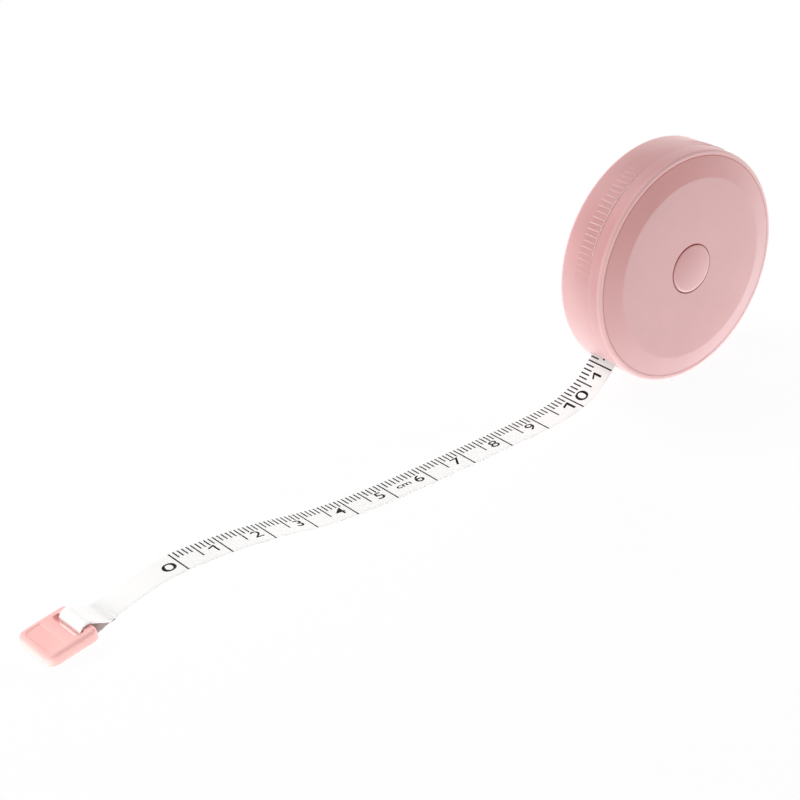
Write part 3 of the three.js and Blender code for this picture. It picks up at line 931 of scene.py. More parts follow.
class Line:
    """A line in side view, x and height in millimetres, measured by its length."""

    def __init__(self, points: Sequence[Vector]) -> None:
        """Add up the length at each point, and file the points by their place.

        Args:
            points: The line's points in turn.
        """
        self.points = list(points)
        self.marks = [0.0]
        for before, after in zip(self.points, self.points[1:]):
            self.marks.append(self.marks[-1] + (after - before).length)
        self.tree = KDTree(len(self.points))
        for i, point in enumerate(self.points):
            self.tree.insert(point.to_3d(), i)
        self.tree.balance()

    @property
    def length(self) -> float:
        """The whole length."""
        return self.marks[-1]

    def at(self, distance: float) -> tuple[Vector, Vector]:
        """Find a place along the line.

        Args:
            distance: From the start, in millimetres.

        Returns:
            The point and the direction there.
        """
        distance = min(max(distance, 0.0), self.length)
        last = len(self.points) - 1
        i = next((k for k, mark in enumerate(self.marks[1:], 1) if mark >= distance), last)
        share = (distance - self.marks[i - 1]) / max(self.marks[i] - self.marks[i - 1], TINY)
        ways = [(self.points[min(k + 1, last)] - self.points[max(k - 1, 0)]).normalized()
                for k in (i - 1, i)]
        return self.points[i - 1].lerp(self.points[i], share), ways[0].lerp(ways[1], share).normalized()

    def nearest(self, spot: Vector) -> float:
        """Find the point of the line nearest to a spot.

        Args:
            spot: A place in side view, in millimetres.

        Returns:
            The distance along the line of that point.
        """
        best = self.tree.find(spot.to_3d())[1]
        found, least = self.marks[best], math.inf
        for i in (best, best + 1):
            if 0 < i < len(self.points):
                a, b = self.points[i - 1], self.points[i]
                t = min(1.0, max(0.0, (spot - a).dot(b - a) / max((b - a).length_squared, TINY)))
                gap = (a.lerp(b, t) - spot).length
                if gap < least:
                    found, least = self.marks[i - 1] + t * (b - a).length, gap
        return found

    def after(self, distance: float) -> "Line":
        """The rest of the line from a distance on."""
        rest = [p for p, mark in zip(self.points, self.marks) if mark > distance + SAME_PLACE]
        return Line([self.at(distance)[0]] + rest)

    def before(self, distance: float) -> "Line":
        """The line up to a distance."""
        start = [p for p, mark in zip(self.points, self.marks) if mark < distance - SAME_PLACE]
        return Line(start + [self.at(distance)[0]])


def flowing(knots: Sequence[Flat], steps: int) -> list[Vector]:
    """Draw a smooth line through knots.

    Args:
        knots: Places to pass through.
        steps: Points between one knot and the next.

    Returns:
        The points.
    """
    spots = [Vector(k) for k in knots]
    last = len(spots) - 1
    line: list[Vector] = []
    for i in range(last):
        p0, p1, p2, p3 = spots[max(i - 1, 0)], spots[i], spots[i + 1], spots[min(i + 2, last)]
        v0, v1 = (p2 - p0) * 0.5, (p3 - p1) * 0.5
        for k in range(steps):
            t = k / steps
            bend = (2 * p1 - 2 * p2 + v0 + v1) * t ** 3 + (-3 * p1 + 3 * p2 - 2 * v0 - v1) * t ** 2
            line.append(bend + v0 * t + p1)
    return line + [spots[last]]


@dataclass(frozen=True)
class Lettering:
    """How a figure of the scale is drawn: its height, how much wider it is, its place and its weight."""

    tall: float
    wide: float
    across: float = -0.25
    weight: float = 0.006


@dataclass
class Tape:
    """The drawn-out tape with its loop, and the scale printed on it."""

    width: float = 7.2
    thickness: float = 0.36
    edge_round: float = 0.1
    columns: int = 8
    bar_x: float = -149.5
    bar_height: float = 2.8
    loop_radius: float = 1.85
    loop_turn: float = 210.0
    loop_steps: int = 24
    loop_free: int = 5
    fold_length: float = 5.8
    fold_landing: float = 4.6
    fold_steps: int = 5
    weld_sink: float = 0.04
    mouth: Flat = (-18.6, 7.87)
    mouth_mark: float = 15.0
    travel: float = 105.0
    lead_length: float = 12.8
    zero_x: float = -127.2
    last_tick: int = 116
    short_half: int = 55
    tick_inset: float = 0.1
    tick_stroke: float = 0.32
    tick_lengths: tuple[float, float, float] = (2.3, 4.65, 6.95)
    figure_lead: float = 2.28
    ten_lead: float = 1.75
    eleven_lead: float = 2.6
    second_lag: float = 2.2
    unit_mark: float = 53.9
    zero: Lettering = Lettering(2.6, 1.72)
    single: Lettering = Lettering(2.42, 1.35)
    ten: Lettering = Lettering(2.75, 1.3, -0.65, 0.025)
    eleven: Lettering = Lettering(2.3, 1.3, -0.65, 0.025)
    second: Lettering = Lettering(3.0, 1.36, -0.75, 0.004)
    unit: Lettering = Lettering(1.0, 1.5, -0.3, 0.015)
    one_stroke: float = 0.16
    ink_height: float = 0.012
    route_steps: int = 6
    route: tuple[Flat, ...] = (
        (-19.55, 23.7), (-19.3, 19.8), (-18.4, 14.9), (-17.6, 11.0), (-17.5, 9.8), (-17.85, 8.75),
        (-18.6, 7.87), (-19.5, 7.05), (-21.25, 5.3), (-23.2, 3.6), (-27.8, 1.54), (-32.7, 0.55),
        (-38.0, 0.26), (-45.0, 0.21), (-57.7, 0.21), (-67.7, 0.24), (-77.7, 0.42), (-82.7, 0.62),
        (-87.6, 0.94), (-92.6, 1.45), (-97.6, 2.23), (-102.4, 3.2), (-107.4, 4.12), (-112.3, 4.87),
        (-117.3, 5.42), (-122.3, 5.8), (-127.2, 6.0), (-133.0, 5.65), (-138.5, 4.65), (-143.5, 3.2),
        (-147.0, 1.9),
    )

    def __post_init__(self) -> None:
        """Lay out the tape's lines: the lead inside, the run to the weld and the loop with its fold."""
        bottom, bar = 270.0, (self.bar_x, self.bar_height)
        foot = (self.bar_x, self.bar_height - self.loop_radius)
        self.whole = Line(flowing(self.route + (foot,), self.route_steps))
        weld = self.along_x(self.bar_x + self.fold_length)
        self.lead = self.whole.before(self.lead_length)
        self.run = self.whole.before(weld).after(self.lead_length)
        self.mark_zero = self.along_x(self.zero_x)
        turns = [bottom - self.loop_turn * k / self.loop_steps for k in range(self.loop_steps + 1)]
        round_bar = [polar(bar, self.loop_radius, math.radians(turn)) for turn in turns]
        lift = Vector((0.0, self.thickness - self.weld_sink))
        ends = [self.whole.at(self.along_x(self.bar_x + reach))[0] + lift
                for reach in (self.fold_landing, self.fold_length)]
        back = flowing([tuple(p) for p in round_bar[-self.loop_free::2] + ends], self.fold_steps)
        self.loop = Line(self.whole.after(weld).points[:-1] + round_bar[:-self.loop_free] + back)

    def along_x(self, x: float) -> float:
        """Find where the tape reaches a place on X, past the mouth.

        Args:
            x: The place, in millimetres.

        Returns:
            The distance along the tape.
        """
        line = self.whole
        for mark, before, after in zip(line.marks, line.points, line.points[1:]):
            if after.x <= x < before.x and mark > self.mouth_mark:
                return mark + (before - after).length * (before.x - x) / (before.x - after.x)
        return line.length

    def strip(self, name: str, line: Line, columns: int, slack: float = 0.0) -> Piece:
        """Make a strip of tape along a line.

        Args:
            name: The piece's name.
            line: Its middle line.
            columns: Faces across the width.
            slack: How much thinner it is made, so that turns that touch stay apart.

        Returns:
            The piece, with a map that runs along and across it in metres.
        """
        corners = [Vector((p.x, -self.width / 2.0, p.y)) * MM for p in line.points]
        piece = Bench.band(name, corners, self.width, columns, self.thickness - slack)
        Bench.bevel(piece, self.edge_round, segments=2)
        Bench.smooth(piece, Bench.SOFT_CREASE)
        chart = piece.data.uv_layers.new(name="along")
        places = [v.co for v in piece.data.vertices]
        marks = [line.nearest(Vector((place.x, place.z)) / MM) * MM for place in places]
        for corner in piece.data.loops:
            chart.data[corner.index].uv = (marks[corner.vertex_index], places[corner.vertex_index].y)
        return piece

    def wrap(self, piece: Piece) -> None:
        """Lay a flat print on the tape.

        Args:
            piece: The print, drawn in marks along X and across Y.
        """
        for v in piece.data.vertices:
            spot, way = self.whole.at(self.mark_zero - v.co.x / MM)
            up = Vector((way.y, -way.x))
            if up.y < -SAME_PLACE:
                up = -up
            place = spot + up * (self.thickness / 2.0 + self.ink_height / 2.0 + v.co.z / MM)
            v.co = Vector((place.x * MM, v.co.y, place.y * MM))

    def tick(self, mark: int, pattern: Piece) -> Piece:
        """Copy one tick to a millimetre mark, at its own length.

        Args:
            mark: The mark.
            pattern: A unit square.

        Returns:
            The tick, flat.
        """
        short, half, full = self.tick_lengths
        length = full if mark % 10 == 0 else half if mark % 5 == 0 and mark != self.short_half else short
        middle = self.width / 2.0 - self.tick_inset - length / 2.0
        copy = Bench.copied(pattern)
        scale = Matrix.Diagonal((self.tick_stroke * MM, length * MM, 1.0, 1.0))
        copy.data.transform(Matrix.Translation((mark * MM, middle * MM, 0.0)) @ scale)
        return copy

    def one(self, look: Lettering) -> Piece:
        """Draw the figure one, a stem with a flag, one unit tall.

        Args:
            look: How it is drawn.

        Returns:
            The figure, flat.
        """
        stem, tip, flag, notch = 0.64, 0.50, 0.80, 0.98
        thick = self.one_stroke + look.weight * 2.0
        corners = [(stem, 0.0), (stem, 1.0), (tip, 1.0), (0.0, flag), (0.0, flag - thick),
                   (stem - thick, notch - thick), (stem - thick, 0.0)]
        piece = Bench.trace("figure", [Vector((x / look.wide, y, 0.0)) for x, y in corners], closed=True)
        Bench.fill(piece)
        return piece

    def letters(self, text: str, look: Lettering) -> Piece:
        """Write letters in the plain face.

        Args:
            text: What they say.
            look: How they are drawn.

        Returns:
            The letters, flat.
        """
        Bench.clear()
        bpy.ops.object.text_add(location=(0.0, 0.0, 0.0))
        words = bpy.context.object
        words.data.body = text
        words.data.offset = look.weight
        bpy.ops.object.convert(target="MESH")
        return bpy.context.object

    def figure(self, text: str, mark: float, look: Lettering) -> Piece:
        """Write a figure of the scale in its place.

        Args:
            text: What it says.
            mark: The mark, in millimetres, of its middle.
            look: How it is drawn.

        Returns:
            The figure, flat.
        """
        piece = self.one(look) if text == "1" else self.letters(text, look)
        spots = [v.co for v in piece.data.vertices]
        low, high = (Vector([pick(c[k] for c in spots) for k in range(3)]) for pick in (min, max))
        tall = look.tall * MM / (high.y - low.y)
        scale = Matrix.Diagonal((tall * look.wide, tall, 1.0, 1.0))
        place = Matrix.Translation((mark * MM, look.across * MM, 0.0))
        piece.data.transform(place @ scale @ Matrix.Translation(-(low + high) / 2.0))
        return piece

    def figures(self) -> list[Piece]:
        """Write the unit and the centimetre numbers, those of two figures on both sides of their tick.

        Returns:
            The figures, flat.
        """
        made = [self.figure("cm", self.unit_mark, self.unit), self.figure("0", -self.figure_lead, self.zero)]
        for number in range(1, 10):
            made.append(self.figure(str(number), number * 10.0 - self.figure_lead, self.single))
        for number, lead, look in ((10, self.ten_lead, self.ten), (11, self.eleven_lead, self.eleven)):
            first, second = str(number)
            made.append(self.figure(first, number * 10.0 - lead, look))
            made.append(self.figure(second, number * 10.0 + self.second_lag, self.second))
        return made

    def scale(self) -> Piece:
        """Print the scale: a tick at every millimetre, longer ones at halves and whole centimetres.

        Returns:
            The print, laid on the tape.
        """
        pattern = Bench.square("tick")
        ticks = [self.tick(mark, pattern) for mark in range(self.last_tick + 1)]
        Bench.discard(pattern)
        ink = Bench.join("printed_scale", ticks + self.figures())
        Bench.edit(ink)
        Bench.tidy()
        Bench.apply(ink, "SOLIDIFY", {"thickness": self.ink_height * MM, "offset": 0.0})
        self.wrap(ink)
        return ink

    def build(self, cloth: Stuff, ink: Stuff, tab: Piece) -> list[Piece]:
        """Make the tape, its loop and its scale.

        Args:
            cloth: The tape's finish.
            ink: The print's finish.
            tab: The pull tab on its end; not used.

        Returns:
            The pieces.
        """
        lead = self.strip("tape_lead", self.lead, self.columns)
        run = self.strip("tape_ribbon", self.run, self.columns)
        loop = self.strip("tape_loop", self.loop, self.columns)
        scale = self.scale()
        dress(lead, cloth, Body.CASING)
        dress(run, cloth, Body.CASING, "tape_run")
        dress(loop, cloth, Body.TAPE)
        dress(scale, ink, Body.CASING)
        for piece in (run, scale):
            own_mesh(piece)
        return [lead, run, loop, scale]


@dataclass
class Case:
    """The two shells, their face plates and the grip ribs on the rim."""

    radius: float = 25.3
    rim_half: float = 5.85
    rim_wall: float = 1.5
    rim_round: float = 0.9
    rim_lip: float = 1.0
    lip_round: float = 0.03
    parting: float = 2.3
    parting_gap: float = 0.01
    parting_round: float = 0.03
    tongue_depth: float = 1.4
    tongue_gap: float = 0.2
    tongue_wall: float = 0.6
    groove: float = 0.25
    groove_depth: float = 0.03
    groove_fill: float = 0.98
    bevel_width: float = 4.3
    bevel_round: float = 0.16
    plate_wall: float = 1.05
    seat_gap: float = 0.15
    web: float = 1.1
    face_half: float = 7.15
    face_bend: float = 2.0
    hole: float = 5.45
    hole_round: float = 0.18
    shell_hole: float = 5.7
    mouth_height: float = 1.7
    mouth_flare: float = 2.6
    mouth_depth: float = 3.2
    mouth_half: float = 3.9
    rib_count: int = 22
    rib_pitch: float = 2.9
    rib_length: float = 3.7
    rib_height: float = 0.22
    rib_base: float = 0.66
    rib_crest: float = 0.34
    rib_end_taper: float = 0.94
    rib_round: float = 0.07
    rib_fade: int = 8
    ledge_half: float = 19.0
    ledge_height: float = 0.1
    ledge_width: float = 0.24
    ledge_steps: int = 30
    # How near the groove edges get the full painted highlight, and the share elsewhere outside the flat
    # face.
    groove_wear: float = 0.4
    bevel_wear: float = 0.2
    steps: int = 160

    def __post_init__(self) -> None:
        """Work out the axis, the radii and the seats."""
        self.centre = Vector((0.0, 0.0, self.radius * MM))
        self.groove_radius = self.radius - self.rim_lip
        self.plate_radius = self.groove_radius - self.groove
        self.face_radius = self.plate_radius - self.bevel_width
        self.seat_half = self.face_half - self.plate_wall - self.seat_gap
        self.edge_seat = self.rim_half - self.plate_wall - self.seat_gap
        self.rib_front = -self.parting + self.parting_gap / 2.0

    def web_at(self, radius: float) -> float:
        """How far the inside of the face's web lies from the middle plane at a radius."""
        share = (radius - self.face_radius) / (self.plate_radius - self.face_radius)
        return self.seat_half - self.web - (self.seat_half - self.edge_seat) * min(1.0, share)

    def turned(self, name: str, side: Side, corners: Sequence[Corner]) -> Piece:
        """Turn a piece of one side from its profile, drawn as if it looked along +Y."""
        profile = [(radius, side.value * along) for radius, along in rounded(corners)]
        return Bench.turned(f"{name}_{side.word}", profile, self.centre, self.steps)

    def shell(self, side: Side) -> Piece:
        """Turn one shell, with its seat for the plate, its groove and its rim.

        Args:
            side: Which shell.

        Returns:
            The shell, without its mouth.
        """
        front = side is Side.FRONT
        hole = self.shell_hole if front else 0.0
        seat, inner = self.seat_half, self.radius - self.rim_wall
        part = self.parting_gap / 2.0 - side.value * self.parting
        face = square_cornered((hole, seat), (self.face_radius, seat), (self.plate_radius, self.edge_seat),
                               (self.groove_radius, self.edge_seat))
        rim = [(self.groove_radius, self.rim_half, self.lip_round),
               (self.radius, self.rim_half, self.rim_round), (self.radius, part, self.parting_round)]
        if front:
            out, end = inner - self.tongue_gap, self.parting - self.tongue_depth
            wall = out - self.tongue_wall
            inside = square_cornered((out, part), (out, end), (wall, end), (wall, self.web_at(wall)))
        else:
            inside = square_cornered((inner, part), (inner, self.web_at(inner)))
        web = square_cornered((self.face_radius, seat - self.web), (hole, seat - self.web))
        return self.turned("case", side, face + rim + inside + web)

    def plate(self, side: Side) -> Piece:
        """Turn one bevelled face plate.

        Args:
            side: Which plate.

        Returns:
            The plate.
        """
        hole, hole_round = (self.hole, self.hole_round) if side is Side.FRONT else (0.0, 0.0)
        under, base = self.face_half - self.plate_wall, self.rim_half - self.plate_wall
        floor = self.rim_half - self.groove_depth
        foot = self.plate_radius + self.groove * self.groove_fill
        top = [(hole, self.face_half, hole_round), (self.face_radius, self.face_half, self.face_bend),
               (self.plate_radius, self.rim_half, self.bevel_round)]
        rest = square_cornered((self.plate_radius, floor), (foot, floor), (foot, base),
                               (self.plate_radius, base), (self.face_radius, under), (hole, under))
        return self.turned("face", side, top + rest)

    def mouth_cutter(self, tape: Tape) -> Piece:
        """Make the block that opens the mouth: a slot along the tape, flared to the outside.

        Args:
            tape: The tape, whose way the mouth follows.

        Returns:
            The block.
        """
        axis = Vector((0.0, self.radius))
        line = tape.whole
        reach = [(p - axis).length for p in line.points]
        first = next(k for k, r in enumerate(reach) if r > self.radius - self.rim_wall - self.mouth_depth)
        rim = next(k for k, r in enumerate(reach) if r > self.radius - self.rim_wall / 2.0)
        half = self.mouth_height / 2.0
        left, right = [], []
        for k in range(first, rim + 1):
            spot, way = line.at(line.marks[k])
            side = Vector((-way.y, way.x))
            left.append(spot + side * half)
            right.append(spot - side * half)
        far = spot + way * self.mouth_depth
        wide = half + self.mouth_flare / 2.0
        outline = left + [far + side * wide, far - side * wide] + right[::-1]
        corners = [Vector((p.x, -self.mouth_half, p.y)) * MM for p in outline]
        cutter = Bench.trace("mouth_cutter", corners, closed=True)
        Bench.fill(cutter, Vector((0.0, 2.0 * self.mouth_half * MM, 0.0)))
        return cutter

    def ledge(self, middle: float) -> Piece:
        """Draw the fine raised line along the front ends of a patch of ribs, sunk at both its ends.

        Args:
            middle: The angle of the patch's middle, in degrees.

        Returns:
            The line.
        """
        corners = []
        for k in range(self.ledge_steps + 1):
            off = 2.0 * k / self.ledge_steps - 1.0
            turn = math.radians(middle + off * self.ledge_half)
            out = self.radius + self.ledge_height * (0.5 - off ** 4)
            spot = Vector((out * math.cos(turn), self.rib_front, out * math.sin(turn)))
            corners.append(self.centre + spot * MM)
        return Bench.band("ledge", corners, self.ledge_width, 1, self.ledge_height)

    def rib(self, depth: float) -> Piece:
        """Model one tapered grip rib.

        Args:
            depth: How deep it is rooted in the rim.

        Returns:
            The rib, with its length along Y and its crest towards +X.
        """
        Bench.clear()
        bpy.ops.mesh.primitive_cube_add(size=1.0, location=(0.0, 0.0, 0.0))
        rib = Bench.named("rib")
        size = Vector((self.rib_height + depth, self.rib_length, self.rib_base)) * MM
        bpy.ops.object.mode_set(mode="EDIT")
        bpy.ops.transform.resize(value=size)
        bpy.ops.mesh.select_all(action="DESELECT")
        bpy.ops.object.mode_set(mode="OBJECT")
        outwards = 0.9
        for face in rib.data.polygons:
            face.select = face.normal.x > outwards
        bpy.ops.object.mode_set(mode="EDIT")
        bpy.ops.transform.resize(value=(1.0, self.rib_end_taper, self.rib_crest / self.rib_base))
        bpy.ops.mesh.select_all(action="SELECT")
        bpy.ops.mesh.bevel(offset=self.rib_round * MM, segments=2, affect="EDGES")
        bpy.ops.object.mode_set(mode="OBJECT")
        return rib

    def ribs(self) -> Piece:
        """Copy the grip rib round both patches of the rim, lower towards a patch's ends.

        Returns:
            The ribs with their ledges, joined.
        """
        depth, last = self.rim_wall / 2.0, self.rib_count - 1
        rib = self.rib(depth)
        out = self.radius + (self.rib_height - depth) / 2.0
        along = self.rib_front + self.rib_length / 2.0
        parts = [self.ledge(middle) for middle in RIB_PATCHES]
        for middle in RIB_PATCHES:
            for i in range(self.rib_count):
                turn = math.radians(middle + (i - last / 2.0) * self.rib_pitch)
                sunk = self.rib_height * max(0.0, 1.0 - (1 + min(i, last - i)) / self.rib_fade)
                place = Matrix.Translation(((out - sunk) * MM, along * MM, 0.0))
                copy = Bench.copied(rib)
                copy.data.transform(Matrix.Translation(self.centre) @ Matrix.Rotation(-turn, 4, "Y") @ place)
                parts.append(copy)
        Bench.discard(rib)
        return Bench.join("grip_ribs", parts)

    def lip_wear(self, spot: Vector) -> float:
        """How much painted highlight the edges of the shells and plates get: full along the groove, none at
        the hole.

        Args:
            spot: A place on them, in metres.

        Returns:
            The share of painted highlight.
        """
        radius = math.hypot(spot.x, spot.z - self.centre.z) / MM
        if abs(radius - self.groove_radius) < self.groove_wear:
            return 1.0
        return self.bevel_wear if radius > self.face_radius else 0.0

    def rib_wear(self, spot: Vector) -> float:
        """How much painted highlight the ribs' crests get: full in the middle of a patch, hardly any at its
        ends.

        Args:
            spot: A place on them, in metres.

        Returns:
            The share of painted highlight.
        """
        turn = math.degrees(math.atan2(spot.z - self.centre.z, spot.x))
        off = min(abs(turn - middle) for middle in RIB_PATCHES)
        return 1.0 - min(1.0, off / (self.rib_count * self.rib_pitch / 2.0)) ** 2.0

    def build(self, tape: Tape, shell: Stuff, plate: Stuff, grip: Stuff) -> list[Piece]:
        """Make the case.

        Args:
            tape: The tape, whose way the mouth follows.
            shell: The shells' finish.
            plate: The face plates' finish.
            grip: The ribs' finish.

        Returns:
            The pieces.
        """
        cutter = self.mouth_cutter(tape)
        made = []
        for side in Side:
            piece = self.shell(side)
            Bench.cut(piece, cutter)
            made.append(dress(piece, shell, Body.CASING, f"{side.word}_shell"))
        Bench.discard(cutter)
        for side in Side:
            made.append(dress(self.plate(side), plate, Body.CASING, f"{side.word}_plate"))
        ribs = dress(self.ribs(), grip, Body.CASING)
        for piece in made + [ribs]:
            Bench.smooth(piece)
            # Sharp edges get painted highlights: on the lips and the groove, and on the ribs' crests.
            Bench.mark_edges(piece, self.rib_wear if piece is ribs else self.lip_wear)
        return made + [ribs]


@dataclass
class Button:
    """The push button: a domed cap on its stem."""

    radius: float = 5.2
    edge: float = 7.25
    edge_round: float = 0.4
    # How deep from the cap's front its edge gets the painted highlight.
    worn_depth: float = 0.2
    dome: float = 0.45
    dome_steps: int = 10
    cap: float = 1.0
    skirt: float = 1.8
    lip: float = 0.3
    foot: float = 5.36
    play: Flat = (0.075, 0.03)
    stem_inside: float = 3.3
    stem_radius: float = 4.1
    stem_end: float = 3.5
    steps: int = 96

    def build(self, finish: Stuff) -> Piece:
        """Turn the button.

        Args:
            finish: Its material.

        Returns:
            The piece.
        """
        ball = (self.radius ** 2 + self.dome ** 2) / (2.0 * self.dome)
        radii = [self.radius * k / self.dome_steps for k in range(self.dome_steps)]
        crown = [(r, self.edge + math.sqrt(ball ** 2 - r ** 2) - ball + self.dome) for r in radii]
        lip, skirt, under = (self.edge - drop for drop in (self.lip, self.skirt, self.cap))
        rest = square_cornered((self.radius, lip), (self.foot, lip), (self.foot, skirt),
                               (self.stem_radius, skirt), (self.stem_radius, self.stem_end),
                               (self.stem_inside, self.stem_end), (self.stem_inside, under), (0.0, under))
        corners = square_cornered(*crown) + [(self.radius, self.edge, self.edge_round)] + rest
        centre = Vector((self.play[0], 0.0, AXIS_HEIGHT + self.play[1])) * MM
        profile = [(radius, Side.FRONT.value * along) for radius, along in rounded(corners)]
        piece = Bench.turned("button_cap", profile, centre, self.steps)
        Bench.smooth(piece)
        # Only the cap's front edge gets the painted highlight.
        Bench.mark_edges(piece, lambda spot: float(-spot.y / MM > self.edge - self.worn_depth))
        return dress(piece, finish, Body.BUTTON, "push_button")


@dataclass
class PullTab:
    """The pull tab: a rounded plate with a slot, a crossbar and a thumb recess on each side."""

    length: float = 11.1
    width: float = 11.4
    thickness: float = 2.6
    nose_round: float = 2.2
    bar_round: float = 1.6
    edge_round: float = 0.7
    corner_round: float = 0.22
    bar: float = 2.0
    slot: float = 1.95
    slot_half: float = 4.2
    slot_round: float = 0.72
    recess_depth: float = 0.16
    recess_border: float = 1.1
    recess_round: float = 1.5
    recess_step_round: float = 0.5
    recess_floor_round: float = 0.5
    bridge: float = 2.1
    floor_gap: float = 0.05
    overshoot: float = 1.0

    def panel(self, name: str, ends: Flat, half: float, rounds: Flat, faces: Flat) -> Piece:
        """Make a block with rounded corners, in the tab's plane.

        Args:
            name: The piece's name.
            ends: Where it starts by the crossbar and ends by the nose.
            half: Half its width.
            rounds: The corner radii at those ends.
            faces: Its lower and upper face.

        Returns:
            The block.
        """
        (start, end), (near, far), (low, high) = ends, rounds, faces
        corners = [(start, -half, near), (end, -half, far), (end, half, far), (start, half, near)]
        outline = rounded(corners, steps=8)
        piece = Bench.trace(name, [Vector((u, v, low)) * MM for u, v in outline], closed=True)
        Bench.fill(piece, Vector((0.0, 0.0, (high - low) * MM)))
        return piece

    def build(self, finish: Stuff, bar_x: float, bar_height: float) -> Piece:
        """Shape the tab and hang it by its crossbar.

        Args:
            finish: Its material.
            bar_x: The crossbar's place along the tape.
            bar_height: The crossbar's height.

        Returns:
            The piece.
        """
        half, side = self.thickness / 2.0, self.width / 2.0
        edge = self.bar / 2.0
        nose, slot_end = self.length - edge, edge + self.slot
        tab = self.panel("pull_tab", (-edge, nose), side, (self.bar_round, self.nose_round), (-half, half))
        Bench.bevel(tab, self.edge_round, segments=4)
        clear, floor = half + self.overshoot, half - self.recess_depth
        slot_rounds, recess_rounds = (self.slot_round,) * 2, (self.recess_step_round, self.recess_round)
        recess_ends = (slot_end + self.bridge, nose - self.recess_border)
        slot = self.panel("slot_cutter", (edge, slot_end), self.slot_half, slot_rounds, (-clear, clear))
        Bench.cut(tab, slot)
        Bench.discard(slot)
        recess_half = side - self.recess_border
        for faces in ((floor, clear), (-clear, -floor)):
            recess = self.panel("recess_cutter", recess_ends, recess_half, recess_rounds, faces)
            Bench.bevel(recess, self.recess_floor_round, segments=4)
            Bench.cut(tab, recess)
            Bench.discard(recess)
        Bench.bevel(tab, self.corner_round, segments=3, degrees=55.0)
        tilt = math.asin((bar_height - half - self.floor_gap) / (nose - self.edge_round))
        place = Matrix.Translation((bar_x * MM, 0.0, bar_height * MM))
        tab.data.transform(place @ Matrix.Rotation(math.pi - tilt, 4, "Y"))
        Bench.smooth(tab, Bench.SOFT_CREASE)
        # Sharp edges, which the finish paints with faint highlights.
        Bench.mark_edges(tab)
        return dress(tab, finish, Body.TAB, "end_tab")


@dataclass
class Winding:
    """The rest of the tape, wound turn on turn on the drum."""

    inner: float = 12.2
    outer: float = 19.3
    slack: float = 0.02
    columns: int = 2
    steps: int = 40

    def build(self, tape: Tape, cloth: Stuff) -> Piece:
        """Wind the tape.

        Args:
            tape: The tape that is wound.
            cloth: Its finish.

        Returns:
            The piece.
        """
        pitch, start = tape.thickness, self.outer - tape.thickness / 2.0
        turns = (self.outer - self.inner) / pitch - 1.0
        spiral = []
        for k in range(int(turns * self.steps) + 1):
            radius, angle = start - pitch * k / self.steps, math.pi - 2.0 * math.pi * k / self.steps
            spiral.append(polar((0.0, AXIS_HEIGHT), radius, angle))
        line = Line(spiral)
        LOG.info("wound length: %.0f mm in %.1f turns", line.length, turns)
        piece = tape.strip("wound_tape", line, self.columns, self.slack)
        return dress(piece, cloth, Body.REEL, "tape_coil")


@dataclass
class Mechanism:
    """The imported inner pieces, which keep their shapes and get their finishes."""

    white: tuple[str, ...] = ("reel_drum", "reel_flange", "spring_cover", "brake_disc")
    steel: tuple[str, ...] = ("power_spring", "button_spring", "tape_anchor")
    rubber: tuple[str, ...] = ("brake_ring",)
    spring_foot: float = -0.5
    spring_keep: float = 0.77

    def build(self, finishes: dict[Slot, Stuff]) -> list[Piece]:
        """Give each inner piece its finish, and give the button's spring a mesh of its own.

        Args:
            finishes: The materials by slot.

        Returns:
            The pieces.
        """
        made = []
        for names, slot in ((self.white, Slot.REEL), (self.steel, Slot.STEEL), (self.rubber, Slot.RUBBER)):
            for name in names:
                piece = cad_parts[name]
                piece.data.materials.clear()
                piece.data.materials.append(finishes[slot])
                made.append(piece)
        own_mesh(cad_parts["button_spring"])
        return made


@dataclass(frozen=True)
class Lamp:
    """A square soft lamp: where it hangs, the length of its sides, and its power in watts."""

    name: str
    place: Place
    size: float
    power: float


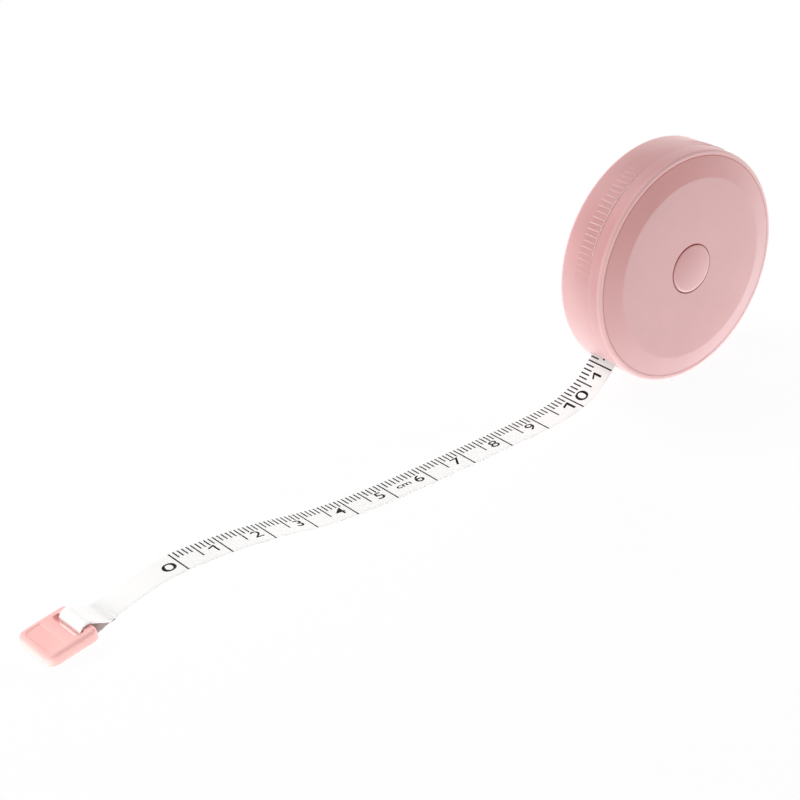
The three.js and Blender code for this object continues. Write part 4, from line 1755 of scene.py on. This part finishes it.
@dataclass
class Studio:
    """Floor, soft light and the photograph's camera."""

    azimuth: float = -37.58
    elevation: float = 28.68
    roll: float = -3.40
    distance: float = 455.03
    target: Place = (-73.18, 0.0, 19.55)
    lens: float = 104.879
    sensor: float = 36.0
    near_limit: float = 10.0
    aim: Place = (-50.0, 0.0, 15.0)
    floor_size: float = 4000.0
    floor_colour: Colour = (0.98, 0.98, 0.98)
    table_glow: float = 1.1
    shown_share: float = 0.93
    floor_near: float = 140.0
    floor_fade: float = 200.0
    soft_light: float = 0.04
    lamps: tuple[Lamp, ...] = (
        Lamp("above", (-60.0, -40.0, 620.0), 360.0, 1.4),
        Lamp("above_behind", (-150.0, 380.0, 520.0), 340.0, 2.1),
        Lamp("behind", (420.0, 380.0, 260.0), 340.0, 1.5),
        Lamp("right", (520.0, -150.0, 60.0), 260.0, 1.7),
        Lamp("left", (-560.0, 40.0, 60.0), 260.0, 1.6),
    )

    def stand(self, name: str, data: Any) -> Piece:
        """Put a camera or a lamp into the scene.

        Args:
            name: Its name.
            data: The camera or the light.

        Returns:
            The object that holds it.
        """
        holder = bpy.data.objects.new(name, data)
        bpy.context.collection.objects.link(holder)
        return holder

    def camera(self) -> None:
        """Stand the camera where the photograph was taken from."""
        a, e, r = (math.radians(v) for v in (self.azimuth, self.elevation, self.roll))
        back = Vector((math.sin(a) * math.cos(e), -math.cos(a) * math.cos(e), math.sin(e)))
        level = Vector((math.cos(a), math.sin(a), 0.0))
        upright = back.cross(level)
        right = level * math.cos(r) + upright * math.sin(r)
        up = upright * math.cos(r) - level * math.sin(r)
        data = bpy.data.cameras.new("camera")
        data.lens = self.lens
        data.sensor_width = self.sensor
        data.clip_start = self.near_limit * MM
        holder = self.stand("camera", data)
        holder.matrix_world = Matrix((right, up, back)).transposed().to_4x4()
        holder.location = (Vector(self.target) + back * self.distance) * MM
        bpy.context.scene.camera = holder

    def shown(self, board: Board) -> Wire:
        """Tell rays that show the surroundings as they are from light that falls on things.

        Args:
            board: The board of the floor or the surroundings.

        Returns:
            One for the rays that show them, and nought for the others.
        """
        rays = board.node("ShaderNodeLightPath").socket.node.outputs
        kinds = ("Camera", "Glossy", "Transmission")
        camera, gloss, glass = (Wire(board, rays[f"Is {kind} Ray"]) for kind in kinds)
        return (camera + gloss + glass).above(0.5)

    def floor(self) -> None:
        """Lay a plain white floor that keeps a faint shadow near the object."""
        Bench.clear()
        bpy.ops.mesh.primitive_plane_add(size=self.floor_size * MM, location=(0.0, 0.0, 0.0))
        floor = Bench.named("floor")
        material, board = new_material("floor_white")
        shown = self.shown(board)
        paper = board.node("ShaderNodeBsdfDiffuse", None, {"Color": linear(self.floor_colour)})
        glow = board.node("ShaderNodeEmission", None, {"Color": WHITE, "Strength": 1.0})
        cast = board.mix(shown, WHITE, BLACK)
        table = board.node("ShaderNodeEmission", None, {"Color": cast, "Strength": self.table_glow})
        lit = board.node("ShaderNodeAddShader", None, {0: paper, 1: table})
        off = board.vector("DISTANCE", board.place(), (self.target[0] * MM, 0.0, 0.0), out="Value")
        far = board.ramp(off, 1.0 / (self.floor_fade * MM), -self.floor_near / self.floor_fade)
        share = shown * (self.shown_share + far * (1.0 - self.shown_share))
        mixed = board.node("ShaderNodeMixShader", None, {0: share, 1: lit, 2: glow})
        board.node("ShaderNodeOutputMaterial", None, {"Surface": mixed})
        floor.data.materials.append(material)

    def world(self) -> None:
        """Fill the surroundings with even light, and show them white."""
        world = bpy.data.worlds.new("studio")
        bpy.context.scene.world = world
        world.use_nodes = True
        board = Board(world.node_tree)
        soft, white = (board.node("ShaderNodeBackground", None, {"Color": WHITE, "Strength": strength})
                       for strength in (self.soft_light, 1.0))
        mixed = board.node("ShaderNodeMixShader", None, {0: self.shown(board), 1: soft, 2: white})
        board.node("ShaderNodeOutputWorld", None, {"Surface": mixed})

    def hang(self, lamp: Lamp) -> None:
        """Hang a lamp that looks at the object and doesn't show in its gloss.

        Args:
            lamp: The lamp.
        """
        data = bpy.data.lights.new(lamp.name, "AREA")
        data.size = lamp.size * MM
        data.energy = lamp.power
        holder = self.stand(lamp.name, data)
        holder.location = Vector(lamp.place) * MM
        holder.visible_glossy = False
        way = (Vector(self.aim) - Vector(lamp.place)).normalized()
        holder.rotation_euler = way.to_track_quat("-Z", "Y").to_euler()

    def build(self) -> None:
        """Set up the view and the light."""
        self.camera()
        self.floor()
        self.world()
        for lamp in self.lamps:
            self.hang(lamp)
        bpy.context.scene.view_settings.view_transform = "Standard"


def main() -> None:
    """Build the studio, then every sub-assembly in order, and report each piece."""
    logging.basicConfig(level=logging.INFO, format="%(message)s")
    Studio().build()
    gloss = {"coat": 0.45, "coat_ior": 1.6}
    # The rim is painted paler towards the lower right and the back, as if lit from there.
    rim = {"colour": (0.738, 0.526, 0.526), "roughness": 0.40, "pale": (0.850, 0.685, 0.685),
           "sweep": (0.6, 1.1, -0.8), "reach": 13.6, "middle": 0.806} | gloss
    # The ribs' crests are painted paler, as highlights.
    grip = MouldedPlastic("grip_pink", **rim, edge_light=1.0, edge_pale=0.33).make()
    ink = PrintInk("scale_ink", (0.075, 0.06, 0.065)).make()
    looks: dict[Slot, Finish] = {
        # The rim's lips and edges get painted highlights.
        Slot.CASE: GripPlastic("case_pink", **rim, edge_light=1.6, edge_pale=0.45),
        # The plate is painted paler on its lit side, with painted edge highlights.
        Slot.PLATE: FacePlastic("plate_pink", (0.770, 0.536, 0.526), roughness=0.46,
                                pale=(0.850, 0.693, 0.702), edge_light=0.9, **gloss),
        # The button is painted paler on its lit side, with a near-white painted highlight along its lower
        # right edge.
        Slot.BUTTON: FacePlastic("button_pink", (0.80, 0.60, 0.60), roughness=0.36,
                                 pale=(0.84, 0.65, 0.65), edge_light=2.5, edge_pale=0.85,
                                 edge_side=True, reach=5.2, face=(0.785, 0.572, 0.572),
                                 face_pale=(0.840, 0.645, 0.650), **gloss),
        Slot.TAB: MouldedPlastic("tab_salmon", (0.995, 0.745, 0.725)),
        Slot.REEL: MouldedPlastic("reel_white", (0.93, 0.925, 0.91), roughness=0.5),
        Slot.STEEL: BrightSteel("spring_bright", (0.72, 0.73, 0.75)),
        Slot.RUBBER: MattRubber("brake_black", (0.16, 0.16, 0.165)),
        Slot.TAPE: CoatedTape("tape_white", (0.985, 0.982, 0.978)),
    }
    finishes = {slot: look.make() for slot, look in looks.items()}
    tape = Tape()
    pieces = [PullTab().build(finishes[Slot.TAB], tape.bar_x, tape.bar_height)]
    pieces += tape.build(finishes[Slot.TAPE], ink, pieces[0])
    pieces.append(Winding().build(tape, finishes[Slot.TAPE]))
    pieces += Case().build(tape, finishes[Slot.CASE], finishes[Slot.PLATE], grip)
    pieces.append(Button().build(finishes[Slot.BUTTON]))
    pieces += Mechanism().build(finishes)
    for piece in pieces:
        LOG.info("%s: %d faces in %s", piece.name, len(piece.data.polygons), piece.data.materials[0].name)
    Bench.clear()


if __name__ == "__main__":
    main()
